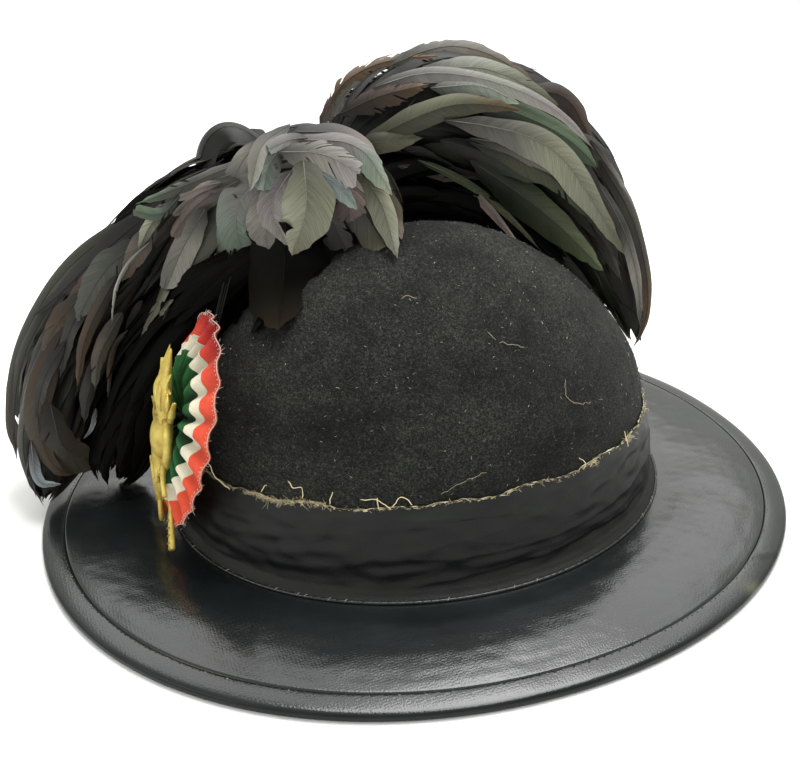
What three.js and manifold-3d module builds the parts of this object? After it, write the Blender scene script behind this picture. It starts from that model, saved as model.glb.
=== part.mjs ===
// A light infantry parade hat: a round felt crown on a flat oval brim, a tall cloth band with a raw top
// edge, a pleated three-colour cockade with a brass badge at the front, and a plume of cock feathers that
// springs from behind the cockade, part falling forward over the brim and part sweeping back.
// Units are millimetres. +Z is up, the wearer faces -Y and the wearer's right is -X.
import * as THREE from "three";
import { mergeVertices } from "three/addons/utils/BufferGeometryUtils.js";
import Module from "manifold-3d";

// The hat's ovals, by their half sizes. Squareness 2 is an ellipse.
const RIM = { halfLength: 170, halfWidth: 148.4, squareness: 2.08 };
const CROWN_FOOT = { halfLength: 111.8, halfWidth: 91.8, squareness: 2 };
const BAND_TOP = { halfLength: 106.4, halfWidth: 79.9, squareness: 2.03 };
const SIDES = 60;

// Heights
const BAND_HEIGHT = 40.5;
const CROWN_HEIGHT = 126.2;
const DOME_ROUNDNESS = 1.72;

// Cloth, felt and board
const FELT = 2.5;
const BAND_CLOTH = 1.2;
const BINDING_CLOTH = 0.8;
const BINDING_WIDTH = 9.2;
const BOARD = 2.4;
const WELT_RADIUS = 0.8;
const GAP = 0.3;

// The cockade's centre, how far it leans back and how far it turns to the wearer's right
const COCKADE_CENTRE = new THREE.Vector3(4, -104, 56);
const COCKADE_LEAN = THREE.MathUtils.degToRad(17.5);
const COCKADE_TURN = THREE.MathUtils.degToRad(4.2);
const COCKADE_RADIUS = 44;
const RIBBON = 1.2;
const PLEATS = 24;
const PLEAT_RISE = 1.2;

// The badge stands more upright than the cockade behind it.
const BADGE_PLACE = { up: -9, out: 6.7 };
const BADGE_LEAN = THREE.MathUtils.degToRad(8);

const FINISHES = {
  felt: { color: 0x101113, roughness: 0.95, metalness: 0 },
  oilcloth: { color: 0x15181a, roughness: 0.35, metalness: 0 },
  ribbon: { color: 0xc8281c, roughness: 0.8, metalness: 0 },
  brass: { color: 0xc9a23c, roughness: 0.4, metalness: 1 },
  feather: { color: 0x2b2a26, roughness: 0.5, metalness: 0 },
  quill: { color: 0x3a3128, roughness: 0.6, metalness: 0 },
};

const wasm = await Module();
wasm.setup();

// A level ring of points round an oval, drawn in all round by inset.
function ovalRing({ halfLength, halfWidth, squareness }, inset, z) {
  const bend = (v) => Math.sign(v) * Math.abs(v) ** (2 / squareness);
  return Array.from({ length: SIDES }, (_, i) => {
    const turn = (2 * Math.PI * i) / SIDES;
    const x = (halfWidth - inset) * bend(Math.sin(turn));
    const y = -(halfLength - inset) * bend(Math.cos(turn));
    return new THREE.Vector3(x, y, z);
  });
}

// The oval that lies part of the way from one oval to another.
function ovalBetween(from, to, share) {
  const between = (key) => THREE.MathUtils.lerp(from[key], to[key], share);
  return {
    halfLength: between("halfLength"),
    halfWidth: between("halfWidth"),
    squareness: between("squareness"),
  };
}

// A closed skin through rings in order. Between poles, which are rings of one point, it is a bag.
// With no poles it is a hoop, whose last ring joins its first.
function skin(rings) {
  const points = rings.flat();
  const starts = rings.map((_, i) => rings.slice(0, i).flat().length);
  const isHoop = rings[0].length > 1;
  const faces = [];
  for (let i = 0; i < rings.length - (isHoop ? 0 : 1); i++) {
    const next = (i + 1) % rings.length;
    const at = (ring, k) => starts[ring] + (k % rings[ring].length);
    const around = Math.max(rings[i].length, rings[next].length);
    for (let k = 0; k < around; k++) {
      if (rings[i].length > 1) faces.push([at(i, k), at(i, k + 1), at(next, k)]);
      if (rings[next].length > 1) faces.push([at(i, k + 1), at(next, k + 1), at(next, k)]);
    }
  }
  return facingOut(points, faces);
}

// A geometry of points and faces, with every face turned to point out.
function facingOut(points, faces) {
  const volume = faces.reduce((sum, [a, b, c]) => {
    const cross = new THREE.Vector3().crossVectors(points[b], points[c]);
    return sum + points[a].dot(cross);
  }, 0);
  const order = volume > 0 ? faces.flat() : faces.flatMap(([a, b, c]) => [a, c, b]);
  return new THREE.BufferGeometry().setFromPoints(points).setIndex(order);
}

// A solid that can be joined and cut, from a closed geometry.
function toSolid(geometry) {
  const bare = geometry.clone();
  bare.deleteAttribute("normal");
  bare.deleteAttribute("uv");
  const merged = mergeVertices(bare, 1e-3);
  const mesh = new wasm.Mesh({
    numProp: 3,
    vertProperties: new Float32Array(merged.attributes.position.array),
    triVerts: new Uint32Array(merged.index.array),
  });
  return new wasm.Manifold(mesh);
}

function toGeometry(solid) {
  const { vertProperties, triVerts } = solid.getMesh();
  return new THREE.BufferGeometry()
    .setAttribute("position", new THREE.BufferAttribute(vertProperties, 3))
    .setIndex(new THREE.BufferAttribute(triVerts, 1));
}

function piece(name, geometry, finish) {
  geometry.computeVertexNormals();
  const mesh = new THREE.Mesh(geometry, new THREE.MeshStandardMaterial(FINISHES[finish]));
  mesh.name = name;
  return mesh;
}

// The brim board

const BOARD_BOTTOM = BINDING_CLOTH + GAP;
const BRIM_TOP_AT_CROWN = 4.6;
const CROWN_FOOT_HEIGHT = BRIM_TOP_AT_CROWN + GAP;
const UNDER_BAND = BAND_CLOTH + GAP;

// The board's top face bows up a little between the rim and the crown. Each row is a share of the way
// from the rim to the head's opening.
const BRIM_SECTIONS = [
  { share: 0, top: BOARD_BOTTOM + BOARD },
  { share: 0.16, top: BOARD_BOTTOM + BOARD + 0.1 },
  { share: 0.5, top: 4.9 },
  { share: 0.9, top: BRIM_TOP_AT_CROWN },
  { share: 1, top: BRIM_TOP_AT_CROWN },
];

function brimGeometry() {
  const inFromRim = BINDING_CLOTH + GAP;
  const inFromFoot = UNDER_BAND + FELT + 0.5;
  const edge = {
    ...RIM,
    halfLength: RIM.halfLength - inFromRim,
    halfWidth: RIM.halfWidth - inFromRim,
  };
  const opening = {
    ...CROWN_FOOT,
    halfLength: CROWN_FOOT.halfLength - inFromFoot,
    halfWidth: CROWN_FOOT.halfWidth - inFromFoot,
  };
  const ringAt = ({ share, top }, drop) =>
    ovalRing(ovalBetween(edge, opening, share), 0, top - drop);
  const topFace = BRIM_SECTIONS.map((row) => ringAt(row, 0));
  const underFace = BRIM_SECTIONS.map((row) => ringAt(row, BOARD)).reverse();
  return skin([...topFace, ...underFace]);
}

// The strip folded over the rim. Each row is a corner of its section: from the lap on top, round the
// edge and under, and back inside.
const BINDING_TOP = 2 * BOARD_BOTTOM + BOARD;
const FOLD_DROP = 0.7;
const FOLD_DEPTH = 1.8;
const BINDING_SECTION = [
  { inset: BINDING_WIDTH, height: BINDING_TOP },
  { inset: FOLD_DEPTH, height: BINDING_TOP },
  { inset: FOLD_DROP, height: BINDING_TOP - FOLD_DROP },
  { inset: 0, height: BINDING_TOP / 2 },
  { inset: FOLD_DROP, height: FOLD_DROP },
  { inset: FOLD_DEPTH, height: 0 },
  { inset: BINDING_WIDTH, height: 0 },
  { inset: BINDING_WIDTH, height: BINDING_CLOTH },
  { inset: BINDING_CLOTH, height: BINDING_CLOTH },
  { inset: BINDING_CLOTH, height: BINDING_TOP - BINDING_CLOTH },
  { inset: BINDING_WIDTH, height: BINDING_TOP - BINDING_CLOTH },
];

const bindingGeometry = () =>
  skin(BINDING_SECTION.map(({ inset, height }) => ovalRing(RIM, inset, height)));

// The crown

// Rings of the straight wall from the foot to the band's top edge, at shares of that way.
function wallRings(inset, shares) {
  return shares.map((share) => {
    const z = THREE.MathUtils.lerp(CROWN_FOOT_HEIGHT, BAND_HEIGHT, share);
    return ovalRing(ovalBetween(CROWN_FOOT, BAND_TOP, share), inset, z);
  });
}

// Rings of the dome above the band, at shares of its rise.
function domeRings(inset, rises) {
  return rises.map((rise) => {
    const narrowing = (1 - rise ** DOME_ROUNDNESS) ** (1 / DOME_ROUNDNESS);
    const oval = {
      ...BAND_TOP,
      halfLength: (BAND_TOP.halfLength - inset) * narrowing,
      halfWidth: (BAND_TOP.halfWidth - inset) * narrowing,
    };
    return ovalRing(oval, 0, BAND_HEIGHT + (CROWN_HEIGHT - BAND_HEIGHT - inset) * rise);
  });
}

// The crown's outer face, drawn in by inset, from its top pole down to its foot.
function crownFace(inset, rises, shares) {
  const top = [new THREE.Vector3(0, 0, CROWN_HEIGHT - inset)];
  return [top, ...domeRings(inset, rises), ...wallRings(inset, shares)];
}

function crownGeometry() {
  const outside = crownFace(UNDER_BAND, [0.98, 0.93, 0.85, 0.74, 0.6, 0.44, 0.27, 0.12], [1, 0.5, 0]);
  const inside = crownFace(UNDER_BAND + FELT, [0.96, 0.84, 0.66, 0.42, 0.18], [1, 0]);
  return skin([...outside, ...inside.reverse()]);
}

// The band follows the wall, swells a little and is pinched in above its flared foot.
const BAND_SECTIONS = [
  { height: BAND_HEIGHT, swell: 0 },
  { height: 33, swell: 0.8 },
  { height: 22, swell: 0.8 },
  { height: 13, swell: 0 },
  { height: CROWN_FOOT_HEIGHT + 0.2, swell: 1 },
];

function bandGeometry() {
  const ringAt = (height, inset) => {
    const share = (height - CROWN_FOOT_HEIGHT) / (BAND_HEIGHT - CROWN_FOOT_HEIGHT);
    return ovalRing(ovalBetween(CROWN_FOOT, BAND_TOP, share), inset, height);
  };
  const outside = BAND_SECTIONS.map(({ height, swell }) => ringAt(height, -swell));
  const inside = BAND_SECTIONS.map(({ height }) => ringAt(height, BAND_CLOTH)).reverse();
  return skin([...outside, ...inside]);
}

// The stitched roll where the brim's cloth turns up against the foot of the band
function weltGeometry() {
  const corners = 6;
  const middle = { inset: -1 - GAP - WELT_RADIUS, height: BRIM_TOP_AT_CROWN + GAP + WELT_RADIUS };
  const rings = Array.from({ length: corners }, (_, i) => {
    const turn = (2 * Math.PI * i) / corners;
    const inset = middle.inset - WELT_RADIUS * Math.cos(turn);
    return ovalRing(CROWN_FOOT, inset, middle.height + WELT_RADIUS * Math.sin(turn));
  });
  return skin(rings);
}

// The cockade, a dish of pleated ribbon whose hub stands forward of its rim. Each row is a ring of its
// front face, in the cockade's own frame with +Z out.
const COCKADE_SECTIONS = [
  { radius: 6, out: 3.4 },
  { radius: 18, out: 3.4 },
  { radius: 27, out: 3.4 },
  { radius: 36, out: 2.2 },
  { radius: COCKADE_RADIUS, out: 0 },
];

function cockadeGeometry() {
  const corners = PLEATS * 4;
  const ringAt = ({ radius, out }, drop) =>
    Array.from({ length: corners }, (_, k) => {
      const turn = (2 * Math.PI * k) / corners;
      const flute = PLEAT_RISE * Math.cos(PLEATS * turn) * (radius / COCKADE_RADIUS) ** 1.5;
      const x = radius * Math.sin(turn);
      const y = radius * Math.cos(turn);
      return new THREE.Vector3(x, y, out + flute - drop);
    });
  const front = COCKADE_SECTIONS.map((row) => ringAt(row, 0));
  const back = COCKADE_SECTIONS.map((row) => ringAt(row, RIBBON)).reverse();
  return skin([...front, ...back]);
}

// The badge, one stamping of crossed carbines, a coiled horn and a flaming grenade. Its frame has its
// origin at the grenade's middle, +Y up and +Z out.
const PLATE = 1.6;
const CARBINE = { slant: 50, buttEnd: -47, muzzleEnd: 36, rise: 3.2 };
const HORN = { radius: 15, tube: 2.7, bellAngle: -50 };
const GRENADE = { radius: 10.5, rise: 5.8 };
const FLAME_RISE = 4;

// Half of the flame's outline, from its foot up to its tip
const FLAME_SIDE = [
  { x: 5, y: 7 },
  { x: 11, y: 17 },
  { x: 8, y: 24 },
  { x: 10, y: 33 },
  { x: 4.5, y: 29 },
  { x: 3.5, y: 37 },
];
const FLAME_TIP = { x: 0, y: 44 };

// A carbine's outline along its own length: butt, wrist, breech and barrel
const CARBINE_SIDE = [
  { along: CARBINE.buttEnd, half: 3.6 },
  { along: CARBINE.buttEnd + 13, half: 2.5 },
  { along: CARBINE.buttEnd + 18, half: 1.6 },
  { along: CARBINE.buttEnd + 24, half: 2.3 },
  { along: 6, half: 1.9 },
  { along: CARBINE.muzzleEnd, half: 1.2 },
];

// An outline raised to a height. The outline is a list of points, each an x and a y.
function raised(outline, height) {
  const shape = new THREE.Shape(outline.map(({ x, y }) => new THREE.Vector2(x, y)));
  return toSolid(new THREE.ExtrudeGeometry(shape, { depth: height, bevelEnabled: false }));
}

function carbineSolid(slant) {
  const edge = (side) => CARBINE_SIDE.map(({ along, half }) => ({ x: along, y: side * half }));
  return raised([...edge(-1), ...edge(1).reverse()], CARBINE.rise).rotate([0, 0, slant]);
}

function flameSolid() {
  const left = FLAME_SIDE.map(({ x, y }) => ({ x: -x, y })).reverse();
  return raised([...FLAME_SIDE, FLAME_TIP, ...left], FLAME_RISE);
}

// The horn's ring with its bell, which leaves the ring along a tangent
function hornSolid() {
  const coil = new THREE.TorusGeometry(HORN.radius, HORN.tube, 6, 30).translate(0, 0, PLATE);
  const bellSide = [
    new THREE.Vector2(0, 0),
    new THREE.Vector2(HORN.tube, 0),
    new THREE.Vector2(HORN.tube * 1.2, 10),
    new THREE.Vector2(HORN.tube * 2.2, 17),
    new THREE.Vector2(0, 17),
  ];
  const bell = new THREE.LatheGeometry(bellSide, 12).scale(1, 1, 0.7);
  bell.translate(HORN.radius, 0, PLATE);
  bell.rotateZ(THREE.MathUtils.degToRad(HORN.bellAngle));
  return toSolid(coil).add(toSolid(bell));
}

function grenadeSolid() {
  const { radius, rise } = GRENADE;
  const ball = new THREE.SphereGeometry(radius, 20, 10).scale(1, 1, rise / radius);
  return toSolid(ball.translate(0, 0, PLATE));
}

function badgeGeometry() {
  const backing = new THREE.CylinderGeometry(HORN.radius, HORN.radius, 2 * PLATE, 30);
  const front = toSolid(backing.rotateX(Math.PI / 2))
    .add(flameSolid())
    .add(carbineSolid(CARBINE.slant))
    .add(carbineSolid(180 - CARBINE.slant))
    .add(hornSolid())
    .add(grenadeSolid());
  const behind = toSolid(new THREE.BoxGeometry(200, 200, 40).translate(0, 0, -20));
  return toGeometry(front.subtract(behind));
}

// The plume. Each row is a station along the way that its feathers run, with the mass's radius in the
// hat's side view and its radius sideways.
const FRONT_FALL = [
  { centre: [-62, -60, 143], tall: 15, wide: 14 },
  { centre: [-70, -77, 126], tall: 25, wide: 22 },
  { centre: [-75, -96, 102], tall: 29, wide: 24 },
  { centre: [-75, -116, 81], tall: 29, wide: 24 },
  { centre: [-70, -134, 62], tall: 28, wide: 24 },
  { centre: [-60, -147, 44], tall: 26, wide: 22 },
  { centre: [-48, -156, 28], tall: 18, wide: 16 },
  { centre: [-36, -163, 16], tall: 9, wide: 8 },
  { centre: [-29, -167, 10], tall: 3, wide: 3 },
];
const BACK_SWEEP = [
  { centre: [-43, -25, 142], tall: 8, wide: 10 },
  { centre: [-54, -11, 152], tall: 15, wide: 17 },
  { centre: [-60, 7, 156], tall: 25, wide: 23 },
  { centre: [-60, 35, 154], tall: 36, wide: 28 },
  { centre: [-54, 66, 143], tall: 37, wide: 28 },
  { centre: [-42, 90, 123], tall: 31, wide: 23 },
  { centre: [-26, 102, 100], tall: 21, wide: 17 },
  { centre: [-11, 108, 77], tall: 12, wide: 11 },
  { centre: [3, 112, 53], tall: 3.5, wide: 3.5 },
];
const ROSETTE = [
  { centre: [-58, -76, 113], tall: 12, wide: 12 },
  { centre: [-46, -62, 126], tall: 26, wide: 24 },
  { centre: [-35, -43, 130], tall: 32, wide: 32 },
  { centre: [-27, -27, 130], tall: 28, wide: 31 },
  { centre: [-18, -17, 126], tall: 20, wide: 22 },
  { centre: [-8, -11, 121], tall: 8, wide: 8 },
];
const STEM = [
  { centre: [-8, -92, 78], tall: 3, wide: 3 },
  { centre: [-16, -84, 95], tall: 4, wide: 4 },
  { centre: [-24, -76, 111], tall: 4, wide: 4 },
];
const WEARERS_LEFT = new THREE.Vector3(1, 0, 0);

// A bag whose oval section follows the stations, grown all over by grow.
function throughStations(stations, { grow = 0, around = 16, steps = 14 } = {}) {
  const path = new THREE.CatmullRomCurve3(stations.map((s) => new THREE.Vector3(...s.centre)));
  const radiusAt = (key, t) => {
    const place = t * (stations.length - 1);
    const low = Math.min(Math.floor(place), stations.length - 2);
    return THREE.MathUtils.lerp(stations[low][key], stations[low + 1][key], place - low) + grow;
  };
  const ringAt = (t) => {
    const along = path.getTangent(t);
    const tallWay = new THREE.Vector3().crossVectors(along, WEARERS_LEFT).normalize();
    const wideWay = new THREE.Vector3().crossVectors(along, tallWay);
    return Array.from({ length: around }, (_, k) => {
      const turn = (2 * Math.PI * k) / around;
      return path
        .getPoint(t)
        .addScaledVector(tallWay, radiusAt("tall", t) * Math.cos(turn))
        .addScaledVector(wideWay, radiusAt("wide", t) * Math.sin(turn));
    });
  };
  const rings = Array.from({ length: steps + 1 }, (_, i) => ringAt(i / steps));
  return toSolid(skin([[path.getPoint(0)], ...rings, [path.getPoint(1)]]));
}

const largestBody = (solid) =>
  solid.decompose().reduce((best, next) => (next.volume() > best.volume() ? next : best));

// The plume's pieces, each cut clear of the crown and of the pieces made before it
function plumePieces() {
  const slim = { around: 8, steps: 6 };
  const crownFloor = [new THREE.Vector3(0, 0, CROWN_FOOT_HEIGHT)];
  const aroundCrown = crownFace(UNDER_BAND - 2 * GAP, [0.98, 0.9, 0.78, 0.6, 0.4, 0.2], [1, 0]);
  const nearCrown = toSolid(skin([...aroundCrown, crownFloor]));
  const nearStem = throughStations(STEM, { ...slim, grow: 2 * GAP });
  const nearRosette = throughStations(ROSETTE, { grow: 2 * GAP });
  const clear = (solid) => largestBody(solid.subtract(nearCrown).subtract(nearStem));
  const stem = throughStations(STEM, slim).subtract(nearCrown);
  const rosette = clear(throughStations(ROSETTE));
  const frontFall = clear(throughStations(FRONT_FALL).subtract(nearRosette));
  const backSweep = clear(throughStations(BACK_SWEEP).subtract(nearRosette));
  return [
    piece("plume_stem", toGeometry(stem), "quill"),
    piece("plume_rosette", toGeometry(rosette), "feather"),
    piece("plume_front_fall", toGeometry(frontFall), "feather"),
    piece("plume_back_sweep", toGeometry(backSweep), "feather"),
  ];
}

// The cockade, its post and the badge, in the cockade's frame
function cockadeGroup() {
  const group = new THREE.Group();
  group.position.copy(COCKADE_CENTRE);
  group.rotation.set(Math.PI / 2 - COCKADE_LEAN, 0, -COCKADE_TURN, "ZYX");
  group.add(piece("cockade", cockadeGeometry(), "ribbon"));

  const badge = piece("badge", badgeGeometry(), "brass");
  badge.position.set(0, BADGE_PLACE.up, BADGE_PLACE.out);
  badge.rotation.x = BADGE_LEAN;
  group.add(badge);

  // The hidden post reaches from the crown to the badge through the cockade's hub.
  const post = { radius: 2, back: 0.6, front: BADGE_PLACE.out - GAP };
  const shaft = new THREE.CylinderGeometry(post.radius, post.radius, post.front - post.back, 12);
  const hiddenPost = piece("cockade_post", shaft.rotateX(Math.PI / 2), "brass");
  hiddenPost.position.z = (post.back + post.front) / 2;
  group.add(hiddenPost);
  return group;
}

const hat = new THREE.Group();
hat.add(
  piece("crown", crownGeometry(), "felt"),
  piece("hat_band", bandGeometry(), "oilcloth"),
  piece("brim", brimGeometry(), "oilcloth"),
  piece("brim_binding", bindingGeometry(), "oilcloth"),
  piece("seam_welt", weltGeometry(), "oilcloth"),
  ...plumePieces(),
  cockadeGroup(),
);

// The origin is the middle of the whole hat's footprint, on the surface that it stands on.
const whole = new THREE.Box3().setFromObject(hat, true);
const middle = whole.getCenter(new THREE.Vector3());
hat.position.set(-middle.x, -middle.y, -whole.min.z);

const root = new THREE.Group();
root.add(hat);
export default root;
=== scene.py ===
import math

import bpy
import numpy as np
from mathutils import Matrix, Vector
from mathutils.bvhtree import BVHTree


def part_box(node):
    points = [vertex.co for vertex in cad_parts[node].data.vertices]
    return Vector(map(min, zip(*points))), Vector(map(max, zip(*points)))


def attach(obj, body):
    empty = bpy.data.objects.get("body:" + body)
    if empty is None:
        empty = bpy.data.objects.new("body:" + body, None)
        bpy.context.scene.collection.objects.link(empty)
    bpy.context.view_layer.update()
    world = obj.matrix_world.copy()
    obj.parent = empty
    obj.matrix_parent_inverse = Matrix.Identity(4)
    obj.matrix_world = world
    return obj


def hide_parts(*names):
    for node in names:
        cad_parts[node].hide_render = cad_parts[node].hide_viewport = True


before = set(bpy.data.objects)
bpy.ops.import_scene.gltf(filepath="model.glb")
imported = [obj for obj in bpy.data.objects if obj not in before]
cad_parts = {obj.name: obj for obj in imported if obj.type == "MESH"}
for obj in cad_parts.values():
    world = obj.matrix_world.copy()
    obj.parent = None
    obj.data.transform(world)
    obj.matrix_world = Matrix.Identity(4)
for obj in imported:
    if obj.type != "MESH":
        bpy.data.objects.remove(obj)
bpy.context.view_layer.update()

# Shapes are worked out in millimetres, with +Z up, the wearer facing -Y, and the middle of the crown's
# foot at the origin. The frame's own origin lies a little behind that.
MM = 0.001
brim_low, brim_high = (np.array(corner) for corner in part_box("brim"))
HAT_MIDDLE = (brim_low + brim_high) / 2 * [1, 1, 0]

# The hat's ovals by half length and half width. Squareness 2 is an ellipse.
RIM = (170.0, 148.4, 2.08)
CROWN_FOOT = (111.8, 91.8, 2.0)
BAND_TOP = (106.4, 79.9, 2.03)
BAND_HEIGHT = 40.5
CROWN_HEIGHT = 126.2
CROWN_FOOT_HEIGHT = 4.9
DOME_ROUNDNESS = 1.72
UNDER_BAND = 1.5
FELT = 2.5
BINDING_TOP = 4.6


def unit(vectors):
    vectors = np.asarray(vectors, float)
    length = np.linalg.norm(vectors, axis=-1, keepdims=True)
    return vectors / np.maximum(length, 1e-9)


def full_turn(count):
    """Even turns once round."""
    return np.linspace(0, 2 * np.pi, count, endpoint=False)


def stacked(x, y, z):
    """Points from three coordinates, each a number or an array."""
    return np.stack(np.broadcast_arrays(x, y, z), axis=-1)


def powered(values, power):
    """Each value's size raised to a power, with its sign kept."""
    return np.sign(values) * np.abs(values) ** power


def read_along(places, known, values):
    """Rows of values, read at places between the known ones."""
    return np.stack([np.interp(places, known, column) for column in values.T], axis=-1)


# The camera stands to the wearer's left front, a little above the hat.
PHOTO_WIDTH, PHOTO_HEIGHT = 800, 763
FOCAL_PIXELS = 1000
CAMERA_DISTANCE = 450.8
CAMERA_ELEVATION = math.radians(26.67)
CAMERA_AZIMUTH = math.radians(68.97)
CAMERA_RIGHTWARD, CAMERA_UPWARD = -9.53, 2.19
AIM = np.array([0, 0, 50.0])
SENSOR = 36.0

to_camera = np.array([
    math.sin(CAMERA_AZIMUTH) * math.cos(CAMERA_ELEVATION),
    -math.cos(CAMERA_AZIMUTH) * math.cos(CAMERA_ELEVATION),
    math.sin(CAMERA_ELEVATION),
])
camera_right = np.array([math.cos(CAMERA_AZIMUTH), math.sin(CAMERA_AZIMUTH), 0])
camera_up = np.cross(to_camera, camera_right)
camera_place = (
    AIM
    + to_camera * CAMERA_DISTANCE
    + camera_right * CAMERA_RIGHTWARD
    + camera_up * CAMERA_UPWARD
)


def sight_line(pixel):
    """The direction from the camera through a pixel of the picture."""
    across = (pixel[0] - PHOTO_WIDTH / 2) / FOCAL_PIXELS
    down = (pixel[1] - PHOTO_HEIGHT / 2) / FOCAL_PIXELS
    return unit(camera_right * across - camera_up * down - to_camera)


def to_row(points):
    """Points of the hat's own frame in millimetres, as metres of the row frame."""
    return np.asarray(points, float) * MM + HAT_MIDDLE


def from_row(points):
    return (np.asarray(points, float) - HAT_MIDDLE) / MM


def add_camera():
    data = bpy.data.cameras.new("camera")
    data.sensor_width = SENSOR
    data.lens = FOCAL_PIXELS / PHOTO_WIDTH * SENSOR
    data.clip_start = 0.01
    camera = bpy.data.objects.new("camera", data)
    axes = np.stack([camera_right, camera_up, to_camera], axis=1)
    camera.matrix_world = Matrix.Translation(to_row(camera_place)) @ Matrix(axes.tolist()).to_4x4()
    bpy.context.scene.collection.objects.link(camera)
    bpy.context.scene.camera = camera


# Meshes. Cloth maps count in centimetres.

CLOTH_UNIT = 10
THREAD_NORMAL = (0.2, 0.1, 1)
THREAD_END_RADIUS = 0.01
WAVE_COUNT = 20


class Bundle:
    """Points, faces, tints and a cloth map gathered from many small shapes into one mesh."""

    def __init__(self):
        self.points = []
        self.faces = []
        self.tints = []
        self.maps = []
        self.count = 0

    def add(self, points, faces, tint=(1, 1, 1), cloth_map=None):
        points = np.asarray(points, float).reshape(-1, 3)
        self.points.append(points)
        for group in faces if isinstance(faces, list) else [faces]:
            self.faces.append(np.asarray(group) + self.count)
        self.tints.append(np.broadcast_to(np.asarray(tint, float), points.shape))
        self.maps.append(np.zeros((len(points), 2)) if cloth_map is None else cloth_map)
        self.count += len(points)

    def add_ring(self, section, tint=(1, 1, 1), across=0, along=0):
        """A closed section carried once round, as rows of points, with its tints and its cloth map."""
        faces = grid_faces(*section.shape[:2], closed_rows=True)
        tint = np.broadcast_to(np.asarray(tint, float), section.shape)
        cloth_map = np.zeros((*section.shape[:2], 2))
        cloth_map[..., 0], cloth_map[..., 1] = across, along
        self.add(section, faces, tint.reshape(-1, 3), cloth_map.reshape(-1, 2))

    def make(self, name, material, stands_for=()):
        points = np.concatenate(self.points)
        faces = [group for group in self.faces if len(group)]
        corners = np.concatenate([group.ravel() for group in faces]).astype(np.int32)
        sizes = np.concatenate([np.full(len(group), group.shape[1]) for group in faces])
        starts = np.concatenate([[0], np.cumsum(sizes)[:-1]]).astype(np.int32)
        mesh = bpy.data.meshes.new(name)
        mesh.vertices.add(len(points))
        mesh.vertices.foreach_set("co", to_row(points).astype(np.float32).ravel())
        mesh.loops.add(len(corners))
        mesh.loops.foreach_set("vertex_index", corners)
        mesh.polygons.add(len(sizes))
        mesh.polygons.foreach_set("loop_start", starts)
        mesh.polygons.foreach_set("use_smooth", np.ones(len(sizes), bool))
        mesh.update(calc_edges=True)
        tints = np.ones((len(points), 4), np.float32)
        tints[:, :3] = np.concatenate(self.tints)
        colours = mesh.color_attributes.new(name="tint", type="FLOAT_COLOR", domain="POINT")
        colours.data.foreach_set("color", tints.ravel())
        cloth_map = np.concatenate(self.maps)[corners].astype(np.float32)
        mesh.uv_layers.new(name="cloth").data.foreach_set("uv", cloth_map.ravel())
        mesh.validate()
        made = bpy.data.objects.new(name, mesh)
        made.data.materials.append(material)
        bpy.context.scene.collection.objects.link(made)
        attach(made, "root")
        if stands_for:
            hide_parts(*stands_for)
        return made


def grid_faces(rows, columns, closed_rows=False, closed_columns=True):
    """Four-cornered faces of a grid of points, stored row by row."""
    row = np.arange(rows if closed_rows else rows - 1)[:, None]
    column = np.arange(columns if closed_columns else columns - 1)[None, :]
    next_row = (row + 1) % rows
    next_column = (column + 1) % columns
    corners = [
        row * columns + column,
        row * columns + next_column,
        next_row * columns + next_column,
        next_row * columns + column,
    ]
    return np.stack(corners, axis=-1).reshape(-1, 4)


def travelled(path):
    """The length of a path up to each of its points."""
    return np.cumsum(np.r_[0, np.linalg.norm(np.diff(path, axis=0), axis=1)])


def smooth_path(points, count):
    """A smooth curve through the points, at count even steps of its parameter."""
    points = np.asarray(points, float)
    if len(points) == 2:
        share = np.linspace(0, 1, count)[:, None]
        return points[0] * (1 - share) + points[1] * share
    knots = np.array([2 * points[0] - points[1], *points, 2 * points[-1] - points[-2]])
    place = np.linspace(0, len(points) - 1, count)
    low = np.minimum(place.astype(int), len(points) - 2)
    t = (place - low)[:, None]
    a, b, c, d = (knots[low + k] for k in range(4))
    return 0.5 * (
        2 * b + (c - a) * t + (2 * a - 5 * b + 4 * c - d) * t**2 + (3 * b - a - 3 * c + d) * t**3
    )


def framed(path, normals):
    """Unit tangents, normals and sideways vectors along a path."""
    tangents = unit(np.gradient(path, axis=0))
    normals = np.broadcast_to(np.asarray(normals, float), path.shape)
    normals = unit(normals - tangents * np.sum(normals * tangents, axis=1, keepdims=True))
    return tangents, normals, np.cross(tangents, normals)


def add_tube(bundle, path, radius, sides=5, tint=(1, 1, 1)):
    """A round thread along a path, closed to a point at both ends."""
    path = np.asarray(path, float)
    radius = np.broadcast_to(np.asarray(radius, float), len(path)).copy()
    radius[0] = radius[-1] = min(radius.min(), THREAD_END_RADIUS)
    _, up, side = framed(path, THREAD_NORMAL)
    turn = full_turn(sides)[None, :, None]
    ring = side[:, None] * np.cos(turn) + up[:, None] * np.sin(turn)
    points = path[:, None] + ring * radius[:, None, None]
    tint = np.asarray(tint, float)
    if tint.ndim == 2:
        tint = np.repeat(tint, sides, axis=0)
    along = np.repeat(travelled(path), sides) / CLOTH_UNIT
    across = np.tile(np.linspace(0, 1, sides), len(path))
    bundle.add(points, grid_faces(len(path), sides), tint, np.stack([across, along], axis=1))


def waves(points, length, seed):
    """A smooth random value from about -1 to 1 at each point, that changes over the given length."""
    rng = np.random.default_rng(seed)
    ways = unit(rng.normal(size=(WAVE_COUNT, 3))) * 2 * np.pi
    ways *= rng.uniform(0.6, 1.6, (WAVE_COUNT, 1)) / np.broadcast_to(length, 3)
    phases = rng.uniform(0, 2 * np.pi, WAVE_COUNT)
    return np.sin(points @ ways.T + phases).sum(axis=-1) * (1.6 / WAVE_COUNT) ** 0.5 / 1.3


def layered_waves(points, layers):
    """The sum of several waves, each given by its length, its seed and its height."""
    return sum(waves(points, length, seed) * height for length, seed, height in layers)


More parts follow.
